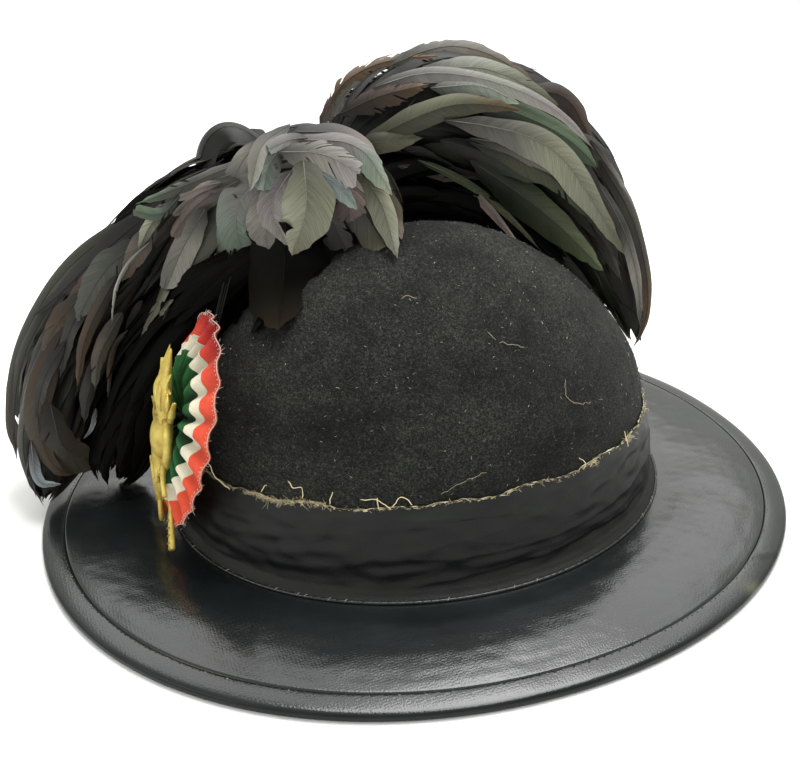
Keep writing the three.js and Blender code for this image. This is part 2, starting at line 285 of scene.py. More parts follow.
def wander(path, length, seed):
    """Smooth random offsets in all three directions along a path."""
    return np.stack([waves(path, length, seed + k) for k in range(3)], axis=1)


def eased(rows, at):
    """A table of places and values, read with soft corners."""
    places, values = np.array(rows, float).T
    order = np.argsort(places)
    places, values = places[order], values[order]
    low = np.clip(np.searchsorted(places, at) - 1, 0, len(places) - 2)
    share = np.clip((at - places[low]) / (places[low + 1] - places[low]), 0, 1)
    share = share * share * (3 - 2 * share)
    return values[low] * (1 - share) + values[low + 1] * share


# Materials. Colours are linear light.

FELT_BLACK, FELT_BLOOM = (0.002, 0.0022, 0.002), (0.006, 0.0064, 0.0055)
FELT_FIBRE, FELT_FUZZ = (0.055, 0.058, 0.05), (0.08, 0.083, 0.072)
SATIN_BLACK, SATIN_WORN = (0.0025, 0.0035, 0.0034), (0.0085, 0.0098, 0.009)
OILCLOTH_BLACK, OILCLOTH_WORN = (0.0042, 0.0058, 0.006), (0.011, 0.0145, 0.0145)
OILCLOTH_COAT, EDGE_DULLING = 0.9, 0.8
BRASS_BROWN, BRASS_YELLOW = (0.42, 0.3, 0.055), (0.84, 0.69, 0.19)
QUILL_DARK, QUILL_BROWN = (0.003, 0.0025, 0.002), (0.01, 0.008, 0.006)


class Finish:
    """A material under construction, with short ways to add its nodes."""

    def __init__(self, name, **settings):
        self.material = bpy.data.materials.new(name)
        self.material.use_nodes = True
        self.tree = self.material.node_tree
        self.shader = self.tree.nodes["Principled BSDF"]
        self.set(**settings)

    def set(self, **settings):
        for key, value in settings.items():
            self.feed(self.shader.inputs[key.replace("_", " ")], value)

    def feed(self, socket, value):
        if isinstance(value, bpy.types.NodeSocket):
            self.tree.links.new(value, socket)
        elif isinstance(value, (tuple, list)) and len(value) == 3 and socket.type == "RGBA":
            socket.default_value = (*value, 1)
        else:
            socket.default_value = value

    def node(self, kind, feeds, output=0, **settings):
        made = self.tree.nodes.new(kind)
        for key, value in settings.items():
            setattr(made, key, value)
        for key, value in feeds.items():
            self.feed(made.inputs[key], value)
        return made.outputs[output]

    def tint(self):
        return self.node("ShaderNodeVertexColor", {}, layer_name="tint")

    def place(self, scale=(1, 1, 1), turn=(0, 0, 0)):
        """Object coordinates in metres, turned and scaled."""
        coordinates = self.node("ShaderNodeTexCoord", {}, output=3)
        return self.node(
            "ShaderNodeMapping", {"Vector": coordinates, "Scale": scale, "Rotation": turn}
        )

    def cloth_map(self, scale=(1, 1, 1)):
        coordinates = self.node("ShaderNodeUVMap", {}, uv_map="cloth")
        return self.node("ShaderNodeMapping", {"Vector": coordinates, "Scale": scale})

    def noise(self, vector, scale, detail=3.0, roughness=0.55, distortion=0.0):
        feeds = {
            "Vector": vector,
            "Scale": scale,
            "Detail": detail,
            "Roughness": roughness,
            "Distortion": distortion,
        }
        return self.node("ShaderNodeTexNoise", feeds)

    def bands(self, vector, scale, direction="X", distortion=0.0):
        feeds = {"Vector": vector, "Scale": scale, "Distortion": distortion, "Detail": 1.0}
        return self.node("ShaderNodeTexWave", feeds, output=1, bands_direction=direction)

    def ramp(self, factor, stops):
        made = self.tree.nodes.new("ShaderNodeValToRGB")
        self.feed(made.inputs[0], factor)
        elements = made.color_ramp.elements
        while len(elements) < len(stops):
            elements.new(0.5)
        for element, (place, value) in zip(elements, stops):
            element.position = place
            colour = (value, value, value) if isinstance(value, (int, float)) else value
            element.color = (*colour, 1)
        return made.outputs[0]

    def sums(self, operation, a, b):
        return self.node("ShaderNodeMath", {0: a, 1: b}, operation=operation)

    def blend(self, factor, a, b, kind="MIX"):
        feeds = {0: factor, 6: a, 7: b}
        return self.node("ShaderNodeMix", feeds, output=2, data_type="RGBA", blend_type=kind)

    def times(self, a, b):
        return self.blend(1.0, a, b, "MULTIPLY")

    def bump(self, height, strength, distance, normal=None):
        feeds = {"Height": height, "Strength": strength, "Distance": distance}
        if normal is not None:
            feeds["Normal"] = normal
        return self.node("ShaderNodeBump", feeds)


def felt_finish():
    """Black napped wool felt with a soft grey bloom and fine fibres."""
    finish = Finish("felt", Roughness=0.95, Specular_IOR_Level=0.2)
    finish.set(Sheen_Weight=0.05, Sheen_Roughness=0.6, Sheen_Tint=(0.8, 0.8, 0.75))
    cloud = finish.noise(finish.place(), 28, detail=4)
    fuzz = finish.noise(finish.place(), 900, detail=4, roughness=0.7)
    fibres = finish.noise(finish.place((1, 2.6, 4.5), (0.3, 0.5, 0.9)), 420, detail=5, distortion=1.6)
    tone = finish.blend(finish.ramp(cloud, [(0.3, 0), (0.75, 1)]), FELT_BLACK, FELT_BLOOM)
    tone = finish.blend(finish.ramp(fibres, [(0.47, 0), (0.72, 0.9)]), tone, FELT_FIBRE)
    tone = finish.blend(finish.ramp(fuzz, [(0.54, 0), (0.74, 0.7)]), tone, FELT_FUZZ)
    brushed = finish.noise(finish.place((1, 1, 1.8), (0.2, 0.7, 0.4)), 26, detail=7, roughness=0.68)
    tone = finish.times(tone, finish.ramp(brushed, [(0.36, 0.35), (0.62, 1.5)]))
    finish.set(Base_Color=finish.times(tone, finish.tint()))
    rough = finish.bump(fuzz, 0.5, 0.0006)
    finish.set(Normal=finish.bump(fibres, 0.6, 0.0009, rough))
    return finish.material


def fibre_finish(name, roughness):
    """Wool fibres, cotton threads and lint in their own colours."""
    finish = Finish(name, Roughness=roughness, Specular_IOR_Level=0.25)
    streak = finish.noise(finish.cloth_map((1, 60, 1)), 4)
    dark = finish.ramp(streak, [(0.3, 0.6), (0.7, 1.0)])
    finish.set(Base_Color=finish.times(finish.tint(), dark))
    return finish.material


def band_finish():
    """Waxed black satin, dull and a little greasy, with its weave showing through."""
    finish = Finish("band_cloth", Specular_IOR_Level=0.28, Coat_Weight=0.05, Coat_Roughness=0.35)
    warp = finish.bands(finish.cloth_map(), 52, "X")
    weave = finish.blend(0.5, warp, finish.bands(finish.cloth_map(), 60, "Y"))
    smear = finish.noise(finish.cloth_map((1, 3.2, 1)), 0.55, detail=5, roughness=0.6)
    grain = finish.noise(finish.cloth_map(), 14, detail=4)
    tone = finish.blend(finish.ramp(smear, [(0.35, 0), (0.7, 1)]), SATIN_BLACK, SATIN_WORN)
    finish.set(Base_Color=finish.times(tone, finish.tint()))
    finish.set(Roughness=finish.ramp(smear, [(0.3, 0.36), (0.72, 0.52)]))
    creased = finish.bump(grain, 0.35, 0.0006)
    finish.set(Normal=finish.bump(weave, 0.22, 0.00025, creased))
    return finish.material


def oilcloth_finish():
    """Glossy black oilcloth with a fine woven grain, duller where the cloth map's X marks a worn edge."""
    finish = Finish("brim_oilcloth", Specular_IOR_Level=0.15, Coat_Roughness=0.09)
    edge = finish.node("ShaderNodeSeparateXYZ", {"Vector": finish.cloth_map()})
    dulling = finish.sums("MULTIPLY", edge, EDGE_DULLING)
    finish.set(Coat_Weight=finish.sums("SUBTRACT", OILCLOTH_COAT, dulling))
    warp = finish.bands(finish.place(), 260, "X", 1.6)
    weave = finish.blend(0.5, warp, finish.bands(finish.place(), 260, "Y", 1.6))
    grain = finish.noise(finish.place(), 1200, detail=3)
    worn = finish.noise(finish.place(), 17, detail=5, roughness=0.62)
    scratch = finish.noise(finish.place((1, 0.05, 1), (0, 0, 0.6)), 260, detail=2)
    tone = finish.blend(finish.ramp(worn, [(0.35, 0), (0.7, 1)]), OILCLOTH_BLACK, OILCLOTH_WORN)
    finish.set(Base_Color=finish.times(tone, finish.tint()))
    rough = finish.ramp(worn, [(0.3, 0.26), (0.75, 0.34)])
    rubbed = finish.ramp(scratch, [(0.66, 0), (0.8, 0.12)])
    finish.set(Roughness=finish.sums("ADD", rough, rubbed))
    woven = finish.bump(weave, 0.2, 0.00006, finish.bump(grain, 0.5, 0.00014))
    finish.set(Normal=woven, Coat_Normal=woven)
    return finish.material


def ribbon_finish():
    """Dyed cotton ribbon with a fine rib and slightly uneven colour."""
    finish = Finish("ribbon", Roughness=0.72, Specular_IOR_Level=0.2, Sheen_Weight=0.04)
    rib = finish.bands(finish.cloth_map(), 30, "Y", 0.4)
    blotch = finish.noise(finish.cloth_map(), 2.5, detail=5)
    dirt = finish.ramp(blotch, [(0.3, 0.84), (0.65, 1.0)])
    finish.set(Base_Color=finish.times(finish.tint(), dirt))
    soft = finish.bump(blotch, 0.3, 0.0008)
    finish.set(Normal=finish.bump(rib, 0.35, 0.0002, soft))
    return finish.material


def brass_finish():
    """Old stamped brass, matt yellow on the high parts and brown in the recesses."""
    finish = Finish("brass", Metallic=0.5, Specular_IOR_Level=0.4)
    stain = finish.noise(finish.place(), 90, detail=5, roughness=0.65)
    pits = finish.noise(finish.place(), 900, detail=3)
    tone = finish.blend(finish.ramp(stain, [(0.35, 0), (0.68, 1)]), BRASS_BROWN, BRASS_YELLOW)
    finish.set(Base_Color=finish.times(tone, finish.tint()))
    finish.set(Roughness=finish.ramp(stain, [(0.3, 0.58), (0.75, 0.42)]))
    finish.set(Normal=finish.bump(pits, 0.45, 0.0004, finish.bump(stain, 0.5, 0.0016)))
    return finish.material


def feather_finish(name, gloss):
    """Cock feathers: each vane has its own tints, whose pale tones are painted sheen, with silky lines along
    its barbs.
    """
    finish = Finish(name, Specular_IOR_Level=gloss, Anisotropic=0.6)
    barbs = finish.noise(finish.cloth_map((0.35, 34, 1)), 5, detail=3, roughness=0.6)
    clumps = finish.noise(finish.cloth_map((0.3, 7, 1)), 3, detail=2)
    lines = finish.ramp(barbs, [(0.3, 0.66), (0.7, 1.2)])
    patches = finish.ramp(clumps, [(0.3, 0.58), (0.7, 1.15)])
    finish.set(Base_Color=finish.times(finish.times(finish.tint(), lines), patches))
    finish.set(Roughness=finish.ramp(clumps, [(0.3, 0.33), (0.7, 0.46)]))
    finish.set(Tangent=finish.node("ShaderNodeTangent", {}, direction_type="UV_MAP", uv_map="cloth"))
    finish.set(Normal=finish.bump(barbs, 0.25, 0.0003))
    return finish.material


def quill_finish():
    """Horny brown quills."""
    finish = Finish("quill", Specular_IOR_Level=0.12)
    streak = finish.noise(finish.place((1, 1, 0.2)), 700)
    finish.set(Base_Color=finish.ramp(streak, [(0.3, QUILL_DARK), (0.7, QUILL_BROWN)]))
    finish.set(Roughness=finish.ramp(streak, [(0.3, 0.35), (0.7, 0.6)]))
    return finish.material


# Ovals and the crown's wall


def oval(shape, inset, turn):
    """Level offsets of an oval from its middle. Turn 0 is the front, a quarter turn the wearer's left."""
    half_length, half_width, squareness = shape
    bend = 2 / squareness
    x = (half_width - inset) * powered(np.sin(turn), bend)
    y = (half_length - inset) * powered(-np.cos(turn), bend)
    return x, y


def between(a, b, share):
    return tuple(p * (1 - share) + q * share for p, q in zip(a, b))


def wall_point(turn, height, out):
    """A point of the straight wall under the band, out millimetres outside the wall's own oval."""
    share = (height - CROWN_FOOT_HEIGHT) / (BAND_HEIGHT - CROWN_FOOT_HEIGHT)
    x, y = oval(between(CROWN_FOOT, BAND_TOP, share), -out, turn)
    return stacked(x, y, height)


def dome_point(turn, rise, inset):
    """A point of the dome. Rise goes from 0 at the band's top edge to 1 at the top of the crown."""
    narrowing = (1 - np.clip(rise, 0, 1) ** DOME_ROUNDNESS) ** (1 / DOME_ROUNDNESS)
    x, y = oval(BAND_TOP, inset, turn)
    height = BAND_HEIGHT + (CROWN_HEIGHT - BAND_HEIGHT - inset) * rise
    return stacked(x * narrowing, y * narrowing, height)


def tree_of(node):
    """A search tree over a plain solid's surface, in the row frame."""
    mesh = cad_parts[node].data
    points = [v.co.copy() for v in mesh.vertices]
    return BVHTree.FromPolygons(points, [p.vertices[:] for p in mesh.polygons])


# Crown. Waves are rows of length, seed and height.

CROWN_ROWS, CROWN_WALL_ROWS, CROWN_TURNS = 100, 13, 250
CROWN_LAST_PLACE = 1.997
CROWN_HEART = (0, 0, 30)
CROWN_WAVES = [(70, 3, 0.5), (16, 4, 0.22), (5, 5, 0.1)]
INSIDE_TINT = (1.6, 1.2, 0.9)
THREAD_COLOUR = (0.5, 0.43, 0.28)
DENT_DEPTH, DENT_REACH = 2.2, 9
NAP_FIBRES, LINT_SPECKS = 28000, 300
FIBRE_GREYS, FIBRE_SHARES = [0.004, 0.02, 0.11, 0.4], [0.46, 0.34, 0.18, 0.02]
DENT_PIXEL = (462, 384)
THREAD_PIXELS = [
    [(486, 334), (496, 342), (510, 345), (524, 349)],
    [(563, 378), (566, 398), (580, 404), (600, 399)],
    [(440, 494), (455, 486), (470, 478), (486, 472)],
    [(330, 395), (336, 388), (344, 392)],
    [(402, 300), (409, 297), (417, 301)],
]


def crown_skin(turn, place, inset):
    """A point of the crown's face. Place is 0 at the foot, 1 at the band's edge and 2 on top."""
    height = CROWN_FOOT_HEIGHT + (BAND_HEIGHT - CROWN_FOOT_HEIGHT) * np.clip(place, 0, 1)
    wall = wall_point(turn, height, -inset)
    arc = np.clip(place - 1, 0, 1) * np.pi / 2
    dome = dome_point(turn, np.sin(arc) ** (2 / DOME_ROUNDNESS), inset)
    return np.where((place > 1)[..., None], dome, wall)


def add_crown(felt, fibre):
    turns = CROWN_TURNS
    turn = full_turn(turns)[None, :]
    wall = np.linspace(0, 1, CROWN_WALL_ROWS + 1)[:-1]
    dome = np.linspace(1, CROWN_LAST_PLACE, CROWN_ROWS - CROWN_WALL_ROWS)
    place = np.r_[wall, dome][:, None]
    outside = crown_skin(turn, place + 0 * turn, UNDER_BAND)
    inside = crown_skin(turn, place + 0 * turn, UNDER_BAND + FELT)
    outward = unit(outside - CROWN_HEART)
    hollow = layered_waves(outside, CROWN_WAVES)[..., None]
    loose = np.clip(place - 1, 0, 0.2)[..., None] * 5
    near = np.linalg.norm(outside - seen_on_crown(DENT_PIXEL), axis=-1, keepdims=True)
    dimple = np.exp(-((near / DENT_REACH) ** 2)) * DENT_DEPTH
    outside = outside + outward * (hollow * loose - dimple)
    skins = np.concatenate([outside, inside[::-1]])
    shade = np.ones(skins.shape)
    shade[CROWN_ROWS:] = INSIDE_TINT
    faces = grid_faces(len(skins), turns, closed_rows=True).reshape(-1, turns, 4)
    faces = np.delete(faces, CROWN_ROWS - 1, axis=0).reshape(-1, 4)
    crown = Bundle()
    crown.add(skins, faces, shade.reshape(-1, 3))
    crown.add([outside[-1].mean(axis=0), inside[-1].mean(axis=0)], [])
    ring = (CROWN_ROWS - 1) * turns + np.arange(turns)
    after = (CROWN_ROWS - 1) * turns + (np.arange(turns) + 1) % turns
    tip = np.full(turns, len(skins) * turns)
    crown.faces.append(np.stack([ring, after, tip], axis=1))
    crown.faces.append(np.stack([after + turns, ring + turns, tip + 1], axis=1))
    crown.make("crown_felt", felt, ["crown"])
    add_nap(outside, outward, fibre)


def seen_on_crown(pixel):
    """The point of the crown's outer face that the camera sees at a pixel."""
    start = Vector(to_row(camera_place))
    hit = crown_tree.ray_cast(start, Vector(sight_line(pixel)))
    return from_row(hit[0])


def add_nap(skin, outward, fibre):
    """Short wool fibres that stand out of the felt, pale specks of lint, and a few loose threads."""
    rng = np.random.default_rng(11)
    rows, turns, _ = skin.shape
    nap = Bundle()
    row = rng.uniform(CROWN_WALL_ROWS, rows - 1.001, NAP_FIBRES * 2)
    width = np.linalg.norm(skin[:, 0, :2] - skin[:, turns // 2, :2], axis=1)
    keep = rng.uniform(0, width.max(), NAP_FIBRES * 2) < width[row.astype(int)]
    row = row[keep][:NAP_FIBRES].astype(int)
    count = len(row)
    column = rng.integers(0, turns, count)
    share = rng.uniform(0, 1, (count, 1))
    share_up = rng.uniform(0, 1, (count, 1))
    low = skin[row, column] * (1 - share) + skin[row, (column + 1) % turns] * share
    high = skin[row + 1, column] * (1 - share) + skin[row + 1, (column + 1) % turns] * share
    root = low * (1 - share_up) + high * share_up
    up = outward[row, column]
    lean = unit(np.cross(up, rng.normal(size=up.shape)))
    length = rng.gamma(3.0, 0.36, (count, 1)) + 0.25
    rise = rng.uniform(0.05, 0.55, (count, 1))
    tip = root + (lean + up * rise) * length
    middle = (root + tip) / 2 + up * length * rng.uniform(0.02, 0.22, (count, 1))
    side = unit(np.cross(lean, up)) * rng.uniform(0.035, 0.06, (count, 1))
    root -= up * 0.1
    points = np.stack([root - side, root + side, middle + side, middle - side, tip], axis=1)
    grey = rng.choice(FIBRE_GREYS, count, p=FIBRE_SHARES)
    base = np.arange(count)[:, None] * 5
    faces = [base + [0, 1, 2, 3], base + [3, 2, 4]]
    nap.add(points, faces, np.repeat(grey[:, None] * [1, 1.02, 1.0], 5, axis=0))
    for k in rng.choice(count, LINT_SPECKS, replace=False):
        reach = rng.uniform(0.25, 0.9)
        bend = rng.normal(size=3) * 0.25
        knots = [
            root[k] + up[k] * 0.3,
            root[k] + lean[k] * reach + up[k] * 0.5 + bend,
            root[k] + lean[k] * 1.7 * reach + up[k] * 0.35,
        ]
        tint = rng.uniform(0.25, 0.75) * np.array([1, 0.95, 0.8])
        add_tube(nap, smooth_path(knots, 5), rng.uniform(0.06, 0.13), 4, tint)
    for pixels in THREAD_PIXELS:
        path = np.array([seen_on_crown(pixel) for pixel in pixels])
        path = smooth_path(path + unit(path - CROWN_HEART) * 0.7, 24)
        path += wander(path, 3.5, 60) * 0.35
        add_tube(nap, path, 0.11, 5, THREAD_COLOUR)
    nap.make("crown_nap", fibre)


# Band

BAND_ROWS, BAND_TURNS, BAND_BACK = 54, 540, -1.2
# How far the band stands out at each height
BAND_SWELL = [
    (40.5, 0), (34, 0.8), (24, 1.1), (17, 0.5), (12, -0.6), (9.5, -0.5), (7.2, 0.6), (5.9, 2.0), (5.1, 2.3),
]
STITCH_SPACING, LOWEST_STRAND = 0.032, 7
# The fuzzy stretch, the tufts and the longer curls, by their pixels
FRAY_LEFT, FRAY_RIGHT = (235, 497), (330, 505)
TUFTS = [(210, 467), (580, 460), (621, 437)]
CURLS = [
    [(262, 491), (266, 485), (272, 491)],
    [(288, 481), (293, 487), (302, 488), (303, 500)],
    [(334, 489), (331, 497), (330, 505)],
    [(360, 499), (377, 500), (392, 509)],
    [(378, 498), (377, 503), (379, 510)],
    [(413, 505), (402, 497), (392, 507)],
    [(209, 463), (215, 476), (231, 490)],
    [(577, 455), (581, 460), (586, 463), (583, 469)],
    [(623, 431), (626, 439), (627, 447)],
]
BEIGE = np.array([0.74, 0.64, 0.4])
STITCH_DARK = (0.03, 0.028, 0.025)


def band_edge_height(turn):
    """The raw edge's height, which wanders a little."""
    ring = stacked(np.sin(turn) * 80, np.cos(turn) * 100, 0)
    return BAND_HEIGHT + 0.55 * waves(ring, 24, 21) + 0.25 * waves(ring, 6, 22)


def band_face(turn, share):
    """A point of the band's outer face. Share goes from 0 at the foot to 1 at the raw edge."""
    foot = CROWN_FOOT_HEIGHT + 0.2
    height = foot + (band_edge_height(turn) - foot) * share
    swell = eased(BAND_SWELL, height)
    flat = stacked(turn * 100, height * 4, 0)
    long_fold = np.clip(1 - np.abs(waves(flat, (210, 80, 50), 23)), 0, 1)
    short_fold = np.clip(1 - np.abs(waves(flat, (60, 44, 50), 24)), 0, 1)
    free = np.clip((height - 6) / 6, 0, 1) * np.clip((41 - height) / 5, 0, 1)
    crease = (long_fold**6 * 0.5 + short_fold**8 * 0.16 - 0.15) * free
    ripple = waves(stacked(turn * 100, height * 2, 0), 16, 25) * 0.3 * free
    return wall_point(turn, height, swell + crease + ripple)


def seen_on_level(pixel, height, shape):
    """Where a pixel meets a level, and on which turn of that level's oval."""
    line = sight_line(pixel)
    spot = camera_place + line * ((height - camera_place[2]) / line[2])
    return math.atan2(spot[0] / shape[1], -spot[1] / shape[0]), spot


def turn_seen(pixel):
    """Where on the round a pixel of the band's edge lies."""
    return seen_on_level(pixel, BAND_HEIGHT, BAND_TOP)[0]


def add_band(cloth, thread):
    turn = full_turn(BAND_TURNS)[None, :]
    share = np.linspace(0, 1, BAND_ROWS)[:, None]
    face = band_face(turn + 0 * share, share + 0 * turn)
    back = wall_point(turn, face[..., 2], BAND_BACK)[::-6]
    section = np.concatenate([face, back])
    # Painted sheen: the band's colour is lighter towards its top and lighter again at its foot.
    height = np.clip((section[..., 2] - 5) / 36, 0, 1)[..., None]
    tint = np.ones(section.shape) * (0.75 + 0.75 * height**2 + 0.5 * np.clip(0.2 - height, 0, 1))
    tint[BAND_ROWS - 1] = BEIGE
    band = Bundle()
    band.add_ring(section, tint, turn * 10, section[..., 2] / CLOTH_UNIT)
    band.make("hat_band_cloth", cloth, ["hat_band"])
    add_fray(thread)


def add_fray(thread):
    """The frayed edge: short stubs all round, curly ends, a fuzzy stretch, tufts and dark stitches."""
    rng = np.random.default_rng(31)
    fray = Bundle()
    left, right = turn_seen(FRAY_LEFT), turn_seen(FRAY_RIGHT)

    def edge_point(turn):
        return wall_point(turn, band_edge_height(np.array([turn])), -0.4)[0]

    def strand(turn, length, radius, curl, tone):
        start = edge_point(turn)
        out = unit(start * [1, 1, 0])
        along = np.cross([0, 0, 1], out)
        way = out * rng.uniform(0.1, 0.8) + along * rng.normal()
        way = unit(way + [0, 0, rng.uniform(-0.5, 0.9)]) * length
        steps = 5 if length < 4 else 12
        share = np.linspace(0, 1, steps)[:, None]
        bend = share * curl * rng.normal(size=3)
        phase = np.linspace(0, rng.uniform(1.5, 4.5), steps)[:, None]
        path = start + share * way + np.sin(phase) * bend + out * 0.3
        path[:, 2] = np.maximum(path[:, 2], LOWEST_STRAND)
        add_tube(fray, path, radius, 3, BEIGE * tone)

    # Short stubs: between which turns, how many, the lengths' spread and least value, curl and tones
    for first, last, count, spread, least, curl, tones in (
        (0, 2 * np.pi, 1500, 0.35, 0.2, 0.3, (0.3, 1.5)),
        (left, right, 420, 0.6, 0.4, 0.8, (0.5, 1.6)),
    ):
        for turn in rng.uniform(first, last, count):
            strand(turn, rng.gamma(2.0, spread) + least, 0.065, curl, rng.uniform(*tones))
    # Long ends: between which turns, how many, curl and tones
    for first, last, count, curl, tones in (
        (left - 0.1, left + 2.6, 14, 1.6, (0.9, 1.5)),
        (0, 2 * np.pi, 16, 1.5, (0.7, 1.3)),
    ):
        for turn in rng.uniform(first, last, count):
            strand(turn, rng.uniform(2, 4), 0.09, curl, rng.uniform(*tones))
    for pixel in TUFTS:
        for _ in range(20):
            turn = turn_seen(pixel) + rng.normal() * 0.01
            strand(turn, rng.uniform(1, 3), 0.08, 1.5, rng.uniform(0.8, 1.5))
    cord = np.linspace(0, 2 * np.pi, 900)
    for k, lift in enumerate((-0.15, 0.25)):
        path = wall_point(cord, band_edge_height(cord) + lift, -0.15 - 0.35 * k)
        path += wander(path, 2.4, 90 + 3 * k) * 0.16
        tones = np.clip(BEIGE * (0.95 + 0.7 * waves(path, 3, 99 + k)[:, None]), 0.03, 0.9)
        radius = np.clip(0.15 + 0.12 * waves(path, 5, 97 + k), 0.03, 0.34)
        add_tube(fray, path, radius, 5, tones)
    for turn in np.arange(0, 2 * np.pi, STITCH_SPACING):
        wide = turn + np.linspace(-0.006, 0.006, 4)
        path = wall_point(wide, band_edge_height(wide) - 0.1, 0.1)
        add_tube(fray, path, 0.3, 5, STITCH_DARK)
    for pixels in CURLS:
        line = np.array([sight_line(pixel) for pixel in pixels])
        root = edge_point(turn_seen(pixels[-1]))
        reach = (root - camera_place) @ to_camera / (line @ to_camera)
        path = smooth_path(camera_place + line * reach[:, None] + to_camera * 1.2, 16)
        path += wander(path, 4, 120) * 0.25
        add_tube(fray, path, 0.17, 5, BEIGE * 1.5)
    fray.make("hat_band_fray", thread)


# Brim, its binding and the welt

BRIM_TURNS = 560
BOARD_INSET, OPENING_INSET = 1.1, 4.5
BRIM_WAVES = [(85, 41, 0.22), (22, 42, 0.07), (7, 43, 0.03)]
# The board's height at shares of the way from the rim to the opening
BRIM_TOPS = [
    (0, 2.9), (0.12, 3.3), (0.134, 4.0), (0.139, 4.5), (0.15, 4.66), (0.2, 5.05), (0.3, 5.65), (0.42, 6.1),
    (0.55, 6.25), (0.7, 6.0), (0.85, 5.2), (0.93, 4.75), (1, 4.6),
]
BRIM_BOTTOMS = [(0, 1.1), (1, 2.2)]
BRIM_SHARES = np.r_[np.linspace(0, 0.1, 3), np.linspace(0.115, 0.2, 14), np.linspace(0.22, 1, 32)]
# The binding's section round the rim, as insets and heights. The first ones are its outer face.
BINDING_SECTION = [
    (9.3, 3.95), (9.16, 4.45), (8.9, 4.56), (8.2, 4.56), (7.0, 4.48), (5.2, 4.33), (3.4, 4.12), (2.0, 3.9),
    (0.9, 3.6), (0.35, 3.2), (0.08, 2.7), (0, 2.1), (0.08, 1.3), (0.35, 0.6), (0.9, 0.15), (2.0, 0.01),
    (5.0, 0), (9.2, 0), (9.2, 0.8), (5.0, 0.9), (1.6, 1.0), (1.2, 2.0), (1.6, 2.8), (5.0, 3.0),
]
BINDING_OUTER = 17
STITCH_INSET, RIM_STITCHES = 8.3, 330
LAP_PIXEL, LAP_LENGTH, LAP_RISE = (760, 556), 26, 0.4
RUBBED_PIXEL, RUBBED_REACH, RUBBED_TINT = (757, 587), 4.5, np.array([9.0, 6.5, 4.2])
WELT_TURNS, WELT_SIDES, WELT_STITCHES = 900, 10, 210


def add_brim(oilcloth, thread):
    turn = full_turn(BRIM_TURNS)[None, :]
    share = BRIM_SHARES[:, None]
    edge = (RIM[0] - BOARD_INSET, RIM[1] - BOARD_INSET, RIM[2])
    opening = (CROWN_FOOT[0] - OPENING_INSET, CROWN_FOOT[1] - OPENING_INSET, CROWN_FOOT[2])

    def ring(place, heights):
        x, y = oval(between(edge, opening, place), 0, turn)
        return stacked(x, y, np.interp(place, *np.array(heights).T))

    top = ring(share, BRIM_TOPS)
    settled = np.clip((share - 0.14) / 0.1, 0, 1) * np.clip((0.86 - share) / 0.1, 0, 1)
    top[..., 2] += layered_waves(top, BRIM_WAVES) * settled
    section = np.concatenate([top, ring(share[::-4], BRIM_BOTTOMS)])
    board = Bundle()
    board.add_ring(section)
    board.make("brim_board", oilcloth, ["brim"])
    add_binding(oilcloth, thread, turn)


def add_binding(oilcloth, thread, turn):
    """The strip folded over the rim, its stitches, and the slanted lap where its ends meet."""
    lap_turn, _ = seen_on_level(LAP_PIXEL, BINDING_TOP, RIM)
    _, rubbed = seen_on_level(RUBBED_PIXEL, BINDING_TOP, RIM)
    inset, height = np.array(BINDING_SECTION).T[..., None]
    points = stacked(*oval(RIM, inset, turn), height)
    outer = (height > 1.2) & (np.arange(len(BINDING_SECTION))[:, None] < BINDING_OUTER)
    points[..., 2] += np.where(outer, 0.06 * waves(points, 30, 44) - 0.02, 0)
    arc = (turn - lap_turn + np.pi) % (2 * np.pi) - np.pi
    slant = arc * 158 + (inset - 4.6) * 0.9
    lapped = ((slant > 0) & (slant < LAP_LENGTH)) & outer & (height > 2)
    points[..., 2] += np.where(lapped, LAP_RISE * (1 - slant / LAP_LENGTH), 0)
    near = np.linalg.norm(points - rubbed, axis=-1)
    worn = np.exp(-((near / RUBBED_REACH) ** 2))[..., None] * outer[..., None]
    tint = (1 - worn) + worn * RUBBED_TINT
    binding = Bundle()
    binding.add_ring(points, tint, np.clip((1.6 - inset) / 1.2, 0, 1))
    binding.make("brim_binding_strip", oilcloth, ["brim_binding"])
    rng = np.random.default_rng(47)
    stitches = Bundle()
    for k in range(RIM_STITCHES):
        middle = 2 * np.pi * (k + rng.uniform(-0.12, 0.12)) / RIM_STITCHES
        wide = middle + np.linspace(-0.0042, 0.0042, 4)
        x, y = oval(RIM, STITCH_INSET + rng.normal() * 0.08, wide)
        tone = rng.choice([0.035, 0.09, 0.3], p=[0.5, 0.38, 0.12])
        path = stacked(x, y, [4.3, 4.57, 4.57, 4.3])
        add_tube(stitches, path, [0.1, 0.2, 0.2, 0.1], 5, (tone, tone * 0.9, tone * 0.75))
    stitches.make("brim_stitches", thread)


def add_welt(oilcloth, thread):
    """The stitched roll at the foot of the band."""
    turn = full_turn(WELT_TURNS)[None, :]
    section = full_turn(WELT_SIDES)[:, None]
    pinch = 0.62 + 0.1 * np.abs(np.sin(turn * WELT_STITCHES / 2))
    x, y = oval(CROWN_FOOT, -2.1 - pinch * np.cos(section), turn)
    roll = Bundle()
    roll.add_ring(stacked(x, y, 5.55 + pinch * np.sin(section)))
    roll.make("seam_welt_roll", oilcloth, ["seam_welt"])
    rng = np.random.default_rng(53)
    stitches = Bundle()
    for k in range(WELT_STITCHES):
        wide = 2 * np.pi * k / WELT_STITCHES + np.linspace(-0.004, 0.006, 4)
        x, y = oval(CROWN_FOOT, np.array([-2.9, -2.5, -2.0, -1.6]), wide)
        tone = rng.choice([0.03, 0.14, 0.6], p=[0.6, 0.28, 0.12])
        path = stacked(x, y, [5.6, 6.3, 6.55, 6.4])
        add_tube(stitches, path, [0.05, 0.13, 0.13, 0.05], 4, (tone, tone * 0.88, tone * 0.68))
    stitches.make("seam_stitches", thread)


# Cockade, in its own frame: the origin at its middle, +Y up its face and +Z out of it

